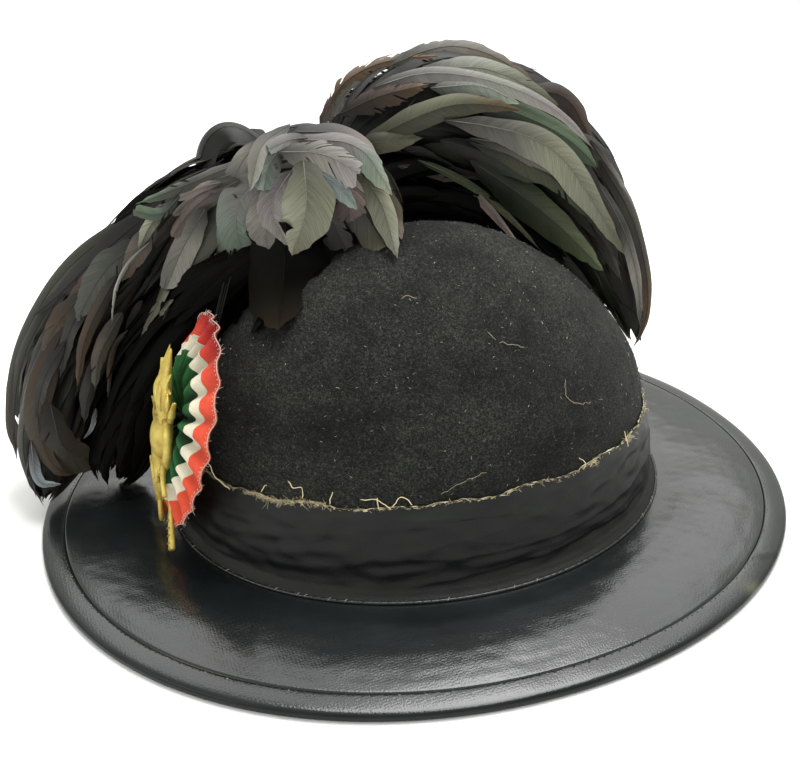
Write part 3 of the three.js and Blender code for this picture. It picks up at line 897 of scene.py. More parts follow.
COCKADE_CENTRE = np.array([4, -104, 56.0])
COCKADE_LEAN = math.radians(17.5)
COCKADE_TURN = math.radians(4.2)
COCKADE_RADIUS = 44
PLEATS = 20
# The ribbon's red, and a darker red painted as shade at the top of the cockade
RED, SHADED_RED = np.array([0.82, 0.085, 0.035]), np.array([0.34, 0.006, 0.01])
WHITE, GREEN = np.array([0.84, 0.78, 0.6]), np.array([0.01, 0.1, 0.02])
# The ribbon's rings by inner and outer radius, colour, and how far each lies above the rim's level
RIBBON_RINGS = [(33.6, 44.0, RED, 0.0), (27.2, 34.5, WHITE, 0.14), (3.0, 27.9, GREEN, 0.28)]
# The ribbon's height and the pleats' depth at each radius
RIBBON_RISE = [(4, 3.0), (14, 4.6), (20, 6.0), (27, 5.2), (34, 3.0), (40, 1.2), (44, 0)]
PLEAT_DEPTHS = [(4, 0.3), (14, 1.2), (24, 1.9), (33, 1.7), (39, 1.3), (44, 0.9)]
SELVEDGE_POINTS, SELVEDGE_RADIUS = 960, 0.22
SELVEDGE_TINT, STITCH_TINT, TUFT_TINT = (0.62, 0.46, 0.38), (0.75, 0.7, 0.6), (0.8, 0.75, 0.65)
BADGE_UP, BADGE_OUT = -9, 6.7
BADGE_LEAN = math.radians(9.4)


def cockade_frame():
    lean = Matrix.Rotation(math.pi / 2 - COCKADE_LEAN, 3, "X")
    return np.array(Matrix.Rotation(-COCKADE_TURN, 3, "Z") @ lean)


def on_cockade(points):
    """Points of the cockade's own frame, with +Y up its face and +Z out of it, in the hat's frame."""
    return np.asarray(points) @ cockade_frame().T + COCKADE_CENTRE


def on_badge(points):
    lean = np.array(Matrix.Rotation(BADGE_LEAN, 3, "X"))
    return on_cockade(np.asarray(points) @ lean.T + [0, BADGE_UP, BADGE_OUT])


def pleat_depth(turn, radius):
    """How deep in a pleat a place is, from 0 on the rounded ridge to 1 in the valley."""
    drift = 0.16 * np.sin(3 * turn + 0.5) + 0.1 * np.sin(7 * turn + radius * 0.15)
    return (0.5 - 0.5 * np.cos(PLEATS * (turn + drift * 0.12))) ** 1.7


def cockade_height(radius, turn):
    """The ribbon's height over the rim: deep round flutes that flatten towards the rim."""
    flute = 1 - 2 * pleat_depth(turn, radius)
    vary = 1 + 0.22 * np.sin(5 * turn + 1) + 0.12 * np.sin(11 * turn)
    return eased(RIBBON_RISE, radius) + eased(PLEAT_DEPTHS, radius) * flute * vary


def rim_wave(turn):
    """How far the pleats push the rim out and in."""
    return 0.5 * np.sin(PLEATS * turn + 0.4)


def add_cockade(ribbon, thread):
    turn = full_turn(PLEATS * 20)[None, :]
    cockade = Bundle()
    for inner, outer, colour, layer in RIBBON_RINGS:
        radius = np.linspace(inner, outer, 16)[:, None]
        if outer == COCKADE_RADIUS:
            radius = radius + rim_wave(turn) * (radius - inner) / (outer - inner)
        level = cockade_height(radius, turn) + layer
        x, y = radius * np.sin(turn), radius * np.cos(turn)
        front = stacked(x, y, level + 0.18 * np.clip(radius - outer + 1.0, 0, 1))
        back = stacked(x, y, level - 0.5)[::-3]
        section = np.concatenate([front, back])
        up = np.clip(front[..., 1] / COCKADE_RADIUS, -1, 1)[..., None]
        tint = np.broadcast_to(colour, front.shape)
        # Painted shade: the red darkens towards the cockade's top.
        if colour is RED:
            high = np.clip(up - 0.62, 0, 0.3)
            tint = tint * (1 - high / 0.3) + SHADED_RED * high / 0.3
        # Painted shade: the white darkens towards the cockade's top and bottom.
        if colour is WHITE:
            tint = tint * (1 - 0.4 * np.clip(np.abs(up) - 0.5, 0, 0.3) / 0.3)
        shadow = 0.85 if colour is GREEN else 0.3
        tint = tint * (1 - shadow * pleat_depth(turn, radius))[..., None]
        # Painted shade: the ribbon's back faces take half its colour.
        tint = np.concatenate([tint, np.broadcast_to(colour * 0.5, back.shape)])
        out = np.linalg.norm(section[..., :2], axis=-1) / CLOTH_UNIT
        cockade.add_ring(on_cockade(section), tint, turn * 6, out)
    cockade.make("cockade_ribbon", ribbon, ["cockade"])
    add_cockade_edge(thread)


def add_cockade_edge(thread):
    """The pale selvedge round the rim, with its small stitches and a few loose tufts."""
    rng = np.random.default_rng(61)
    edge = Bundle()
    turn = np.linspace(0, 2 * np.pi, SELVEDGE_POINTS)
    radius = COCKADE_RADIUS + rim_wave(turn) + 0.15
    level = cockade_height(np.full(len(turn), float(COCKADE_RADIUS)), turn)
    path = stacked(radius * np.sin(turn), radius * np.cos(turn), level + 0.1)
    add_tube(edge, on_cockade(path), SELVEDGE_RADIUS, 6, SELVEDGE_TINT)
    for spot in path[::6]:
        step = unit(spot * [1, 1, 0]) * rng.uniform(0.9, 1.5)
        stitch = [spot + [0, 0, 0.5], spot - step * 0.5 + [0, 0, 0.75], spot - step + [0, 0, 0.45]]
        add_tube(edge, on_cockade(smooth_path(stitch, 4)), 0.14, 4, STITCH_TINT)
    for spot in path[rng.integers(0, SELVEDGE_POINTS, 130)]:
        way = unit(rng.normal(size=3) + unit(spot)) * rng.uniform(0.7, 2.2)
        tuft = [spot, spot + way * 0.6, spot + way + rng.normal(size=3) * 0.4]
        add_tube(edge, on_cockade(smooth_path(tuft, 5)), 0.06, 3, TUFT_TINT)
    edge.make("cockade_selvedge", thread)


# Badge, in its own frame: the origin at the ball's middle, +Y up and +Z out

RECESS = (0.62, 0.55, 0.45)
BOXY = 2.4
# Half widths of a gun along its length, from the butt to the muzzle
GUN = [
    (-47, 2.2), (-46.4, 3.4), (-40, 3.1), (-34, 2.5), (-30, 1.7), (-26, 1.6), (-23.4, 2.3), (-16, 2.3),
    (-8, 2.0), (4, 1.9), (5, 2.3), (6.5, 2.3), (7.5, 1.6), (20, 1.45), (21, 1.9), (22.5, 1.9),
    (23.2, 1.2), (29, 1.0), (32, 0.7), (33.5, 0.3),
]
HORN_RADIUS, HORN_LEVEL, HORN_CLAMPS = 15, 2.4, (8, 24, 44, 60)
BELL = [(-4.6, -15.2, 2.4), (-7.5, -13.4, 2.4), (-13, -7.4, 2.4), (-18.4, 0.6, 2.4), (-21.6, 7.6, 2.4)]
MOUTHPIECE = [(14, -5, 3.6), (17.5, -11, 3.8), (22.5, -15.5, 3.4)]
SLING = [(-11, 12, 5.2), (-20, 2, 4.4), (-17, -14, 4.0), (-4, -21, 4.2), (8, -17, 4.6), (15, -8, 5.2)]
TASSEL_WIDTHS = [0.7, 0.8, 1.6, 1.2, 1.5, 1.9, 2.1, 2.2, 2.2]
TASSEL_HEIGHTS = [0.7, 0.8, 1.5, 1.0, 1.1, 1.2, 1.2, 1.1, 1.0]
BALL_RADIUS = 10.5
# The flame's tongues by their tip's place, how far they swing to the side, their width and their height
TONGUES = [
    (0, 41, 0, 3.4, 4.2), (-3.5, 37, -2.5, 3.0, 4.0), (3.8, 36, 3, 3.0, 4.0), (-8.5, 32.5, -6, 2.7, 3.4),
    (9, 32, 6.5, 2.7, 3.4), (-10.5, 25, -8.6, 2.4, 2.8), (10.8, 24.5, 8.8, 2.4, 2.8), (-6, 29, -4, 2.6, 5.2),
    (6.2, 28, 4.4, 2.6, 5.2), (0.8, 33, 0.5, 2.8, 5.8),
]
PLEAT = [(0.8, -11, 6.8), (1.2, -20, 5.6), (0.9, -31, 3.1), (0.3, -40, 1.2)]
PLATE_WIDTH, PLATE_HEIGHT, PLATE_UP, PLATE_SIDES = 13, 15, 2, 40


def sweep(
    bundle, path, widths, heights=None, *, steps=0, normals=(0, 0, 1), sides=14, square=2, tint=(1, 1, 1)
):
    """A solid bar along a path, smoothed if steps are given, with half widths and half heights along it."""
    path = smooth_path(path, steps) if steps else np.asarray(path, float)
    _, up, side = framed(path, normals)
    turn = full_turn(sides)
    wide, tall = powered(np.cos(turn), 2 / square), powered(np.sin(turn), 2 / square)
    heights = widths if heights is None else heights
    widths = np.broadcast_to(np.asarray(widths, float), len(path))[:, None, None]
    heights = np.broadcast_to(np.asarray(heights, float), len(path))[:, None, None]
    points = path[:, None] + side[:, None] * wide[:, None] * widths + up[:, None] * tall[:, None] * heights
    count = len(path) * sides
    ring = np.arange(sides)
    after = (ring + 1) % sides
    last = count - sides
    faces = [
        grid_faces(len(path), sides),
        np.stack([after, ring, np.full(sides, count)], axis=1),
        np.stack([last + ring, last + after, np.full(sides, count + 1)], axis=1),
    ]
    bundle.add(on_badge(np.concatenate([points.reshape(-1, 3), path[:1], path[-1:]])), faces, tint)


def add_gun(badge, slant, lift):
    """A gun with its lock, its trigger guard and the straps round its butt."""
    way = np.array([math.cos(slant), math.sin(slant), 0])
    side = np.array([-way[1], way[0], 0])
    along, half = np.array(GUN).T
    low = np.clip((along + 30) / 30, 0, 1)
    path = along[:, None] * way + [0, 0, 1] * (0.5 + (0.8 + lift) * low)[:, None]
    sweep(badge, path, half, (0.35 + 0.2 * low) * half + 0.2 + 0.3 * low, square=BOXY)
    lock = np.array([way * -21 + side * 2.0, way * -18 + side * 4.2, way * -14 + side * 3.2])
    sweep(badge, lock + [0, 0, 2.4 + lift], 0.7, steps=8, sides=8, square=BOXY)
    guard = np.array([way * -25 - side * 2, way * -21 - side * 4.6, way * -16 - side * 2.2])
    sweep(badge, guard + [0, 0, 2.0 + lift], 0.5, 0.7, steps=10, sides=8, square=BOXY)
    for strap in range(-44, -34, 3):
        ridge = way * strap + [0, 0, 1.9]
        across = [ridge - side * 2.4, ridge, ridge + side * 2.4]
        sweep(badge, across, 0.3, sides=6, square=BOXY, tint=RECESS)


def add_horn(badge):
    """The coiled horn with its clamps, bell and mouthpiece, its twisted sling and two tassels."""
    turn = full_turn(72)
    coil = stacked(HORN_RADIUS * np.sin(turn), HORN_RADIUS * np.cos(turn), HORN_LEVEL)
    coil = np.concatenate([coil, coil[:1]])
    thick = np.linspace(1.5, 2.9, len(coil))
    sweep(badge, coil, thick, sides=16)
    for place in HORN_CLAMPS:
        half = (coil[place + 1] - coil[place]) * 0.5
        ends = [coil[place] - half, coil[place] + half]
        sweep(badge, ends, thick[place] + 0.5, sides=16, tint=RECESS)
    flare = 1.9 + 4.4 * np.linspace(0, 1, 16) ** 3.2
    sweep(badge, BELL, flare, flare * 0.6, steps=16, sides=20)
    sweep(badge, MOUTHPIECE, np.linspace(1.3, 1.0, 8), steps=8, sides=10)
    for phase in (0, np.pi):
        angle = np.linspace(0, 1, 90) * 22 + phase
        twist = stacked(np.cos(angle), 0, np.sin(angle)) * 0.55
        sweep(badge, smooth_path(SLING, 90) + twist, 0.6, sides=6)
    for side in (-1, 1):
        tassel = [(side * 5, -20, 4.4), (side * 7, -27, 3.4), (side * 8, -35, 2.8)]
        sweep(badge, tassel, TASSEL_WIDTHS, TASSEL_HEIGHTS, steps=9, sides=12, square=BOXY)


def add_flame(badge):
    """The ball with its collars, the flame above it, and the pleated drape below."""
    angle = np.linspace(0, np.pi / 2, 14)
    dome = stacked(0, 0, 2.0 + 6.0 * np.sin(angle))
    radius = np.r_[BALL_RADIUS, BALL_RADIUS * np.cos(angle)]
    ball = np.concatenate([dome[:1] - [0, 0, 1.6], dome])
    sweep(badge, ball, radius, normals=(0, 1, 0), sides=40)
    for height in (9.4, 11.2):
        collar = [(-5.2, height, 3.4), (0, height + 0.5, 6.0), (5.2, height, 3.4)]
        sweep(badge, collar, 0.9, steps=9, sides=8, square=BOXY, tint=RECESS)
    for tip_x, tip_y, swing, width, lift in TONGUES:
        tongue = [
            (swing * 0.35, 9, lift * 0.6),
            (swing * 1.25, 17 + tip_y * 0.08, lift),
            (swing * 0.7, 12 + tip_y * 0.42, lift * 0.9),
            (tip_x, tip_y, 1.6),
        ]
        taper = np.sin(np.linspace(0.6, np.pi, 18)) ** 0.8 * width + 0.12
        sweep(badge, tongue, taper, taper * 0.55, steps=18, sides=10, square=1.5)
    place = np.arange(14)
    drape = [(0, -6, 2.0), (0.5, -20, 2.2), (0, -32, 1.4), (0, -41, 0.6)]
    widths = np.interp(place, [0, 4, 9, 13], [8, 9, 6, 2])
    heights = np.interp(place, [0, 4, 9, 13], [5.3, 4.2, 2.0, 0.6])
    sweep(badge, drape, widths, heights, steps=14, sides=24)
    for slope in (-3.6, -1.2, 1.2, 3.6):
        pleat = [(slope * swing, y, z) for swing, y, z in PLEAT]
        sweep(badge, pleat, 0.85, 0.8, steps=12, sides=8)
    blaze = [(0, 6, 2.5), (0, 18, 3.0), (0, 30, 2.6), (0.5, 39, 1.4)]
    widths = np.interp(place, [0, 5, 10, 13], [6, 9, 5, 1.5])
    heights = np.interp(place, [0, 5, 10, 13], [3.2, 3.0, 1.8, 0.6])
    sweep(badge, blaze, widths, heights, steps=14, sides=24)


def add_plate(badge):
    """The oval plate that everything stands on."""
    turn = full_turn(PLATE_SIDES)
    outline = stacked(np.sin(turn) * PLATE_WIDTH, np.cos(turn) * PLATE_HEIGHT + PLATE_UP, 0)
    middles = [[0, PLATE_UP, 1.2], [0, PLATE_UP, 0.1]]
    points = np.concatenate([outline * 0.999 + [0, 0, 0.1], outline + [0, 0, 1.2], middles])
    ring = np.arange(PLATE_SIDES)
    after = (ring + 1) % PLATE_SIDES
    middle = np.full(PLATE_SIDES, 2 * PLATE_SIDES)
    top = np.stack([PLATE_SIDES + ring, PLATE_SIDES + after, middle], axis=1)
    bottom = np.stack([after, ring, middle + 1], axis=1)
    badge.add(on_badge(points), [grid_faces(2, PLATE_SIDES), top, bottom], RECESS)


def add_badge(brass):
    badge = Bundle()
    add_gun(badge, math.radians(50), 0.0)
    add_gun(badge, math.radians(130), 0.9)
    add_horn(badge)
    add_flame(badge)
    add_plate(badge)
    badge.make("badge_brass", brass, ["badge"])


# Feathers

FEATHER_STEPS = 40
SHAFT_RADII = (0.26, 0.05)
SHAFT_BROWN = (0.008, 0.004, 0.003)
# Painted shade and sheen along a vane's length: dark at its root, where the plume shades it, and a little
# lighter at its tip
VANE_PLACES, VANE_SHADE_AND_SHEEN = [0, 0.15, 0.55, 1], [0.12, 0.4, 1, 1.12]
# How wide a vane is along its length, from root to tip
VANE_SHAPES = {
    "leaf": [(0, 0.12), (0.15, 0.6), (0.4, 1), (0.62, 0.92), (0.85, 0.5), (0.95, 0.2), (1, 0.03)],
    "round": [(0, 0.15), (0.15, 0.6), (0.45, 0.95), (0.8, 1), (0.92, 0.8), (0.975, 0.5), (1, 0.03)],
    "square": [(0, 0.2), (0.2, 0.7), (0.55, 0.98), (0.9, 1), (0.97, 0.75), (1, 0.05)],
    "hackle": [(0, 0.3), (0.1, 0.75), (0.28, 1), (0.6, 0.85), (0.85, 0.45), (1, 0.02)],
    "spade": [(0, 0.5), (0.35, 1), (0.55, 0.92), (0.8, 0.42), (1, 0.02)],
    "strap": [(0, 0.8), (0.1, 1), (0.9, 1), (1, 0.7)],
}
VANE_COLUMNS = np.array([0.0, 0.3, 0.6, 0.82, 1.0])
# The barbs' angle to the shaft at the root and at the tip, in degrees
BARB_SLANT = (48, 24)


def add_feather(
    bundle, rng, path, normals, width, shape, tints, *, rows=30, fray=0.12, camber=0.28, lopsided=0.8
):
    """A feather along a path: a split vane on each side of a fine shaft. Tints go from root to tip."""
    curve = smooth_path(path, FEATHER_STEPS)
    if np.ndim(normals) == 2:
        normals = smooth_path(normals, FEATHER_STEPS)
    tangents, up, side = framed(curve, normals)
    reach = travelled(curve)
    length = reach[-1]
    tints = np.asarray(tints, float)
    tint_places = np.linspace(0, 1, len(tints))
    root = np.linspace(0, 0.985, rows)
    slant = np.radians(np.interp(root, [0, 1], BARB_SLANT))
    out = VANE_COLUMNS[None, :]
    shaded_side = rng.choice([-1, 1])
    for way in (-1, 1):
        half = width / 2 * (lopsided if way < 0 else 1.0)
        lateral = half * eased(VANE_SHAPES[shape], barb_ends(root, half / np.tan(slant) / length, shape))
        forward = lateral / np.tan(slant)
        clump = np.cumsum(rng.uniform(size=rows) < fray)
        chance = rng.uniform(size=rows)
        cut = np.where(chance < fray * 0.8, rng.integers(1, 4, rows), np.where(chance < fray * 2, 4, 9))
        first = np.r_[True, np.diff(clump) > 0]
        spread = rng.normal(0, 0.015 + 0.2 * fray, clump[-1] + 1)[clump][:, None]
        lift = rng.normal(0, 0.08 + 0.5 * fray, clump[-1] + 1)[clump][:, None]
        centre = np.array([root[clump == c].mean() for c in clump])[:, None]
        gather = np.clip((out - 0.45) / 0.55, 0, 1) ** 1.5 * min(1.2 * fray, 0.6)
        start = root[:, None] * length * (1 - gather) + centre * length * gather
        distance = start + forward[:, None] * out**1.2 * (1 + spread * out)
        across = lateral[:, None] * out * (1 + spread * out)
        inside = np.clip(distance, 0, length)
        spot = read_along(inside, reach, curve) + tangents[-1] * (distance - inside)[..., None]
        drop = -(0.35 * across * camber + camber * across**2 / max(half, 1)) + lift * out**2 * 0.6
        points = spot + read_along(inside, reach, side) * (way * across)[..., None]
        points = points + read_along(inside, reach, up) * drop[..., None]
        quads = grid_faces(rows, len(VANE_COLUMNS), closed_columns=False).reshape(rows - 1, -1, 4)
        column = np.arange(len(VANE_COLUMNS) - 1)
        faces = quads[(column < cut[1:, None]) | ~first[1:, None]]
        shade = read_along(np.clip(distance / length, 0, 1), tint_places, tints)
        streak = 1 + 0.035 * rng.normal(size=(rows, 1, 1))
        streak = streak + 0.06 * rng.normal(size=(clump[-1] + 1, 1, 1))[clump]
        # Painted shade: each vane is dark at its root and lightens towards its tip.
        depth = np.interp(distance / length, VANE_PLACES, VANE_SHADE_AND_SHEEN)[..., None]
        # Painted shade: one side of each vane is darker, as if turned from the light.
        side_shade = rng.uniform(0.55, 0.85) if way == shaded_side else 1.0
        shade = np.clip(shade * streak * depth * side_shade * (0.8 + 0.3 * out[..., None]), 0.002, 1)
        phase = rng.uniform(0, 40)
        cloth_map = stacked(phase + out * half / CLOTH_UNIT, phase + root[:, None] * length / CLOTH_UNIT, 0)
        bundle.add(
            points.reshape(-1, 3),
            faces if way > 0 else faces[:, ::-1],
            shade.reshape(-1, 3),
            cloth_map[..., :2].reshape(-1, 2),
        )
    shaft = slice(0, FEATHER_STEPS, 3)
    thick = np.interp(np.linspace(0, 1, FEATHER_STEPS), [0, 1], SHAFT_RADII)[shaft]
    tone = np.clip(tints.mean(axis=0) * 0.8 + SHAFT_BROWN, 0, 1)
    add_tube(bundle, (curve + up * 0.05)[shaft], thick, 4, tone)


def barb_ends(root, longest, shape):
    """Where along the feather slanting barbs meet the vane's outline, found by halving."""
    low, high = root, np.ones(len(root))
    for _ in range(20):
        middle = (low + high) / 2
        short = middle < root + longest * eased(VANE_SHAPES[shape], middle)
        low, high = np.where(short, middle, low), np.where(short, high, middle)
    return low


# Colours of the vanes, as linear light. The pale tones, grey, lilac, rose, mint, sage, green and ice, are
# painted sheen: the gloss of dark feathers put into their colour.
BLACK = (0.003, 0.003, 0.0026)
DARK = (0.009, 0.0083, 0.0072)
SOOT = (0.022, 0.021, 0.019)
BROWN = (0.055, 0.034, 0.02)
RUST = (0.11, 0.066, 0.034)
OLIVE = (0.085, 0.085, 0.05)
DEEP_GREEN = (0.028, 0.04, 0.02)
GREEN_SHEEN = (0.1, 0.14, 0.085)
GREY_SHEEN = (0.25, 0.238, 0.205)
LILAC_SHEEN = (0.28, 0.255, 0.25)
ROSE_SHEEN = (0.26, 0.205, 0.19)
MINT_SHEEN = (0.24, 0.31, 0.24)
SAGE_SHEEN = (0.29, 0.295, 0.21)
SLATE = (0.056, 0.055, 0.05)
PALE_SHEEN = (0.36, 0.36, 0.34)
ICE_GLINT = (0.22, 0.25, 0.27)

# The feathers that show singly. Each is given by its pixels from root to tip, its width in millimetres, its
# shape, its colours from root to tip, its fraying, and how far it stands in front of the plume's surface.
# The pale tones in these lists, named or given as numbers, are painted sheen.
ROSETTE_FEATHERS = [
    ([(244, 246), (226, 276), (202, 300)], 17, "round", (DARK, SOOT, BROWN), 0.05, 0),
    ([(318, 180), (332, 220), (347, 250)], 14, "square", (SLATE, SLATE, (0.06, 0.055, 0.056)), 0.15, 1),
    ([(336, 172), (366, 216), (386, 247)], 15, "round", (OLIVE, SLATE, OLIVE), 0.06, 2),
    ([(350, 168), (388, 200), (402, 240)], 9, "leaf", (OLIVE, OLIVE, RUST), 0.05, 3),
    ([(330, 156), (376, 194), (398, 260)], 12, "leaf", (OLIVE, SAGE_SHEEN, OLIVE), 0.05, 4.5),
    ([(332, 160), (348, 194), (350, 222)], 15, "square",
     (ROSE_SHEEN, (0.14, 0.105, 0.1), (0.12, 0.09, 0.085)), 0.2, 5),
    ([(306, 164), (336, 184), (358, 210)], 9, "leaf", (MINT_SHEEN, ICE_GLINT, MINT_SHEEN), 0.05, 6),
    ([(236, 196), (200, 246), (162, 322)], 13, "hackle", (SLATE, (0.13, 0.135, 0.1), OLIVE), 0.1, 3),
    ([(262, 200), (232, 230), (213, 254)], 13, "leaf", (GREY_SHEEN, MINT_SHEEN, OLIVE), 0.08, 2),
    ([(206, 208), (182, 250), (166, 290)], 13, "round", (SLATE, GREY_SHEEN, (0.12, 0.115, 0.105)), 0.03, 7),
    ([(172, 262), (160, 298), (141, 337)], 6, "hackle", (SLATE, OLIVE, SLATE), 0.3, 2),
    ([(186, 270), (170, 300), (158, 319)], 6, "hackle", (OLIVE, OLIVE, SLATE), 0.3, 1),
    ([(240, 180), (198, 204), (171, 238)], 11, "round",
     (SLATE, (0.13, 0.105, 0.09), (0.12, 0.09, 0.07)), 0.02, 5),
    ([(222, 182), (200, 188), (176, 200)], 5, "round", (SLATE, ROSE_SHEEN, ROSE_SHEEN), 0.12, 5),
    ([(212, 194), (190, 203), (171, 217)], 6, "round", (SLATE, GREY_SHEEN, BROWN), 0.12, 3),
    ([(236, 164), (190, 183), (134, 205)], 8, "hackle", (GREY_SHEEN, SLATE, GREEN_SHEEN), 0.3, 3),
    ([(238, 172), (200, 186), (150, 212)], 7, "hackle", (GREY_SHEEN, SLATE, GREY_SHEEN), 0.3, 2),
    ([(272, 180), (266, 220), (268, 249)], 20, "square", (GREY_SHEEN, GREY_SHEEN, (0.17, 0.155, 0.14)), 0.12, 5.5),
    ([(292, 170), (272, 206), (288, 246)], 13, "leaf", (LILAC_SHEEN, LILAC_SHEEN, GREY_SHEEN), 0.08, 6.5),
    ([(278, 164), (236, 212), (254, 288)], 22, "leaf",
     (LILAC_SHEEN, LILAC_SHEEN, (0.2, 0.24, 0.2), (0.13, 0.17, 0.13), SAGE_SHEEN), 0.02, 7),
    ([(303, 156), (306, 208), (292, 256)], 23, "leaf",
     (SAGE_SHEEN, SAGE_SHEEN, (0.28, 0.29, 0.21), (0.24, 0.22, 0.16)), 0.02, 8.5),
    ([(278, 152), (322, 154), (360, 174)], 14, "square", (GREY_SHEEN, GREY_SHEEN, LILAC_SHEEN), 0.3, 10),
    ([(280, 148), (268, 168), (264, 191)], 13, "round",
     (SLATE, (0.13, 0.155, 0.13), (0.16, 0.2, 0.16)), 0.03, 9),
    ([(308, 138), (290, 140), (268, 150)], 11, "square", (SLATE, LILAC_SHEEN, (0.2, 0.22, 0.2)), 0.08, 11),
    ([(286, 140), (356, 146), (393, 196)], 16, "leaf", (ROSE_SHEEN, LILAC_SHEEN, LILAC_SHEEN, MINT_SHEEN, SAGE_SHEEN), 0.03, 11),
    ([(290, 132), (346, 136), (384, 172)], 13, "leaf", (SOOT, SLATE, ROSE_SHEEN, GREY_SHEEN), 0.05, 9),
    ([(290, 124), (262, 146), (250, 192)], 10, "leaf", (DARK, GREY_SHEEN, (0.24, 0.24, 0.2)), 0.03, 12),
    ([(272, 140), (248, 154), (234, 178)], 11, "square", (SLATE, GREY_SHEEN, SLATE), 0.15, 7),
    ([(276, 130), (312, 126), (344, 140)], 10, "round", (DARK, SOOT, SLATE), 0.1, 8),
]
FRONT_FEATHERS = [
    ([(150, 205), (76, 260), (37, 311), (14, 368), (9, 425), (16, 455)], 12, "hackle",
     (OLIVE, (0.09, 0.1, 0.07), SLATE, BROWN), 0.06, -5),
    ([(150, 212), (92, 262), (62, 292), (31, 318)], 12, "hackle", (DARK, SOOT, SOOT), 0.06, -3),
    ([(140, 240), (104, 272), (76, 322)], 17, "leaf",
     (SLATE, (0.085, 0.09, 0.075), (0.07, 0.075, 0.06), SLATE), 0.12, 3),
    ([(158, 222), (140, 245), (122, 282)], 10, "leaf", (SLATE, (0.12, 0.1, 0.08), BROWN), 0.12, 6),
    ([(168, 205), (150, 226), (138, 252)], 7, "leaf", (SLATE, SAGE_SHEEN, SLATE), 0.12, 7),
    ([(150, 242), (128, 264), (115, 292), (112, 325)], 2.0, "hackle", (GREY_SHEEN, PALE_SHEEN, GREY_SHEEN), 0.2, 9),
    ([(116, 276), (86, 336), (77, 389)], 7, "hackle", (SLATE, BROWN, BROWN), 0.15, 5),
    ([(122, 312), (100, 354), (95, 391)], 8, "hackle", (SLATE, (0.075, 0.062, 0.045), SLATE), 0.15, 5),
    ([(84, 292), (62, 318), (41, 352)], 12, "leaf", (SLATE, BROWN, (0.08, 0.06, 0.045)), 0.15, 3),
    ([(52, 330), (28, 403), (24, 460), (45, 508)], 8, "hackle",
     (SLATE, (0.11, 0.11, 0.105), SLATE, DARK), 0.05, -1),
    ([(60, 290), (26, 350), (14, 410), (17, 462)], 12, "hackle",
     (SOOT, (0.06, 0.065, 0.045), SOOT, BROWN), 0.05, -4),
    ([(70, 300), (36, 370), (24, 440)], 13, "hackle", (DARK, SOOT, BROWN), 0.05, -4),
    ([(72, 308), (38, 400), (50, 462), (76, 474)], 14, "leaf",
     (SOOT, BROWN, (0.05, 0.042, 0.03), BROWN), 0.1, 2),
    ([(50, 402), (66, 450), (117, 462)], 20, "leaf",
     (SOOT, (0.05, 0.044, 0.032), (0.08, 0.068, 0.05)), 0.2, 5),
    ([(31, 440), (38, 480), (62, 484)], 5, "leaf", (SLATE, ICE_GLINT, ICE_GLINT), 0.03, 4),
    ([(96, 408), (92, 428), (82, 440)], 2.2, "hackle", (SLATE, ICE_GLINT, SLATE), 0.1, 6),
    ([(112, 410), (104, 428), (94, 442)], 1.8, "hackle", (SLATE, ICE_GLINT, SLATE), 0.1, 6),
    ([(140, 318), (144, 350), (153, 380)], 2, "hackle", (SLATE, SLATE, SOOT), 0.2, 4),
    ([(128, 330), (112, 352), (108, 402)], 3, "hackle", (SLATE, BROWN, SOOT), 0.2, 4),
    ([(66, 340), (44, 380), (34, 430)], 7, "hackle", (SOOT, SLATE, SOOT), 0.15, 3),
    ([(130, 236), (84, 284), (52, 330)], 8, "hackle", (SOOT, RUST, SOOT), 0.15, 2),
    ([(96, 290), (70, 330), (60, 380)], 9, "hackle", (SOOT, SLATE, DARK), 0.15, 2),
    ([(30, 452), (28, 480), (45, 503)], 2, "hackle", (SOOT, SOOT, SOOT), 0.3, 3),
    ([(110, 344), (90, 388), (84, 426)], 9, "hackle", (DARK, SOOT, SOOT), 0.12, 3),
    ([(142, 300), (134, 340), (128, 378)], 9, "hackle", (DARK, SOOT, DARK), 0.12, 0),
    ([(180, 196), (160, 214), (133, 210)], 6, "square", (SLATE, (0.09, 0.12, 0.09), GREEN_SHEEN), 0.2, 8),
]
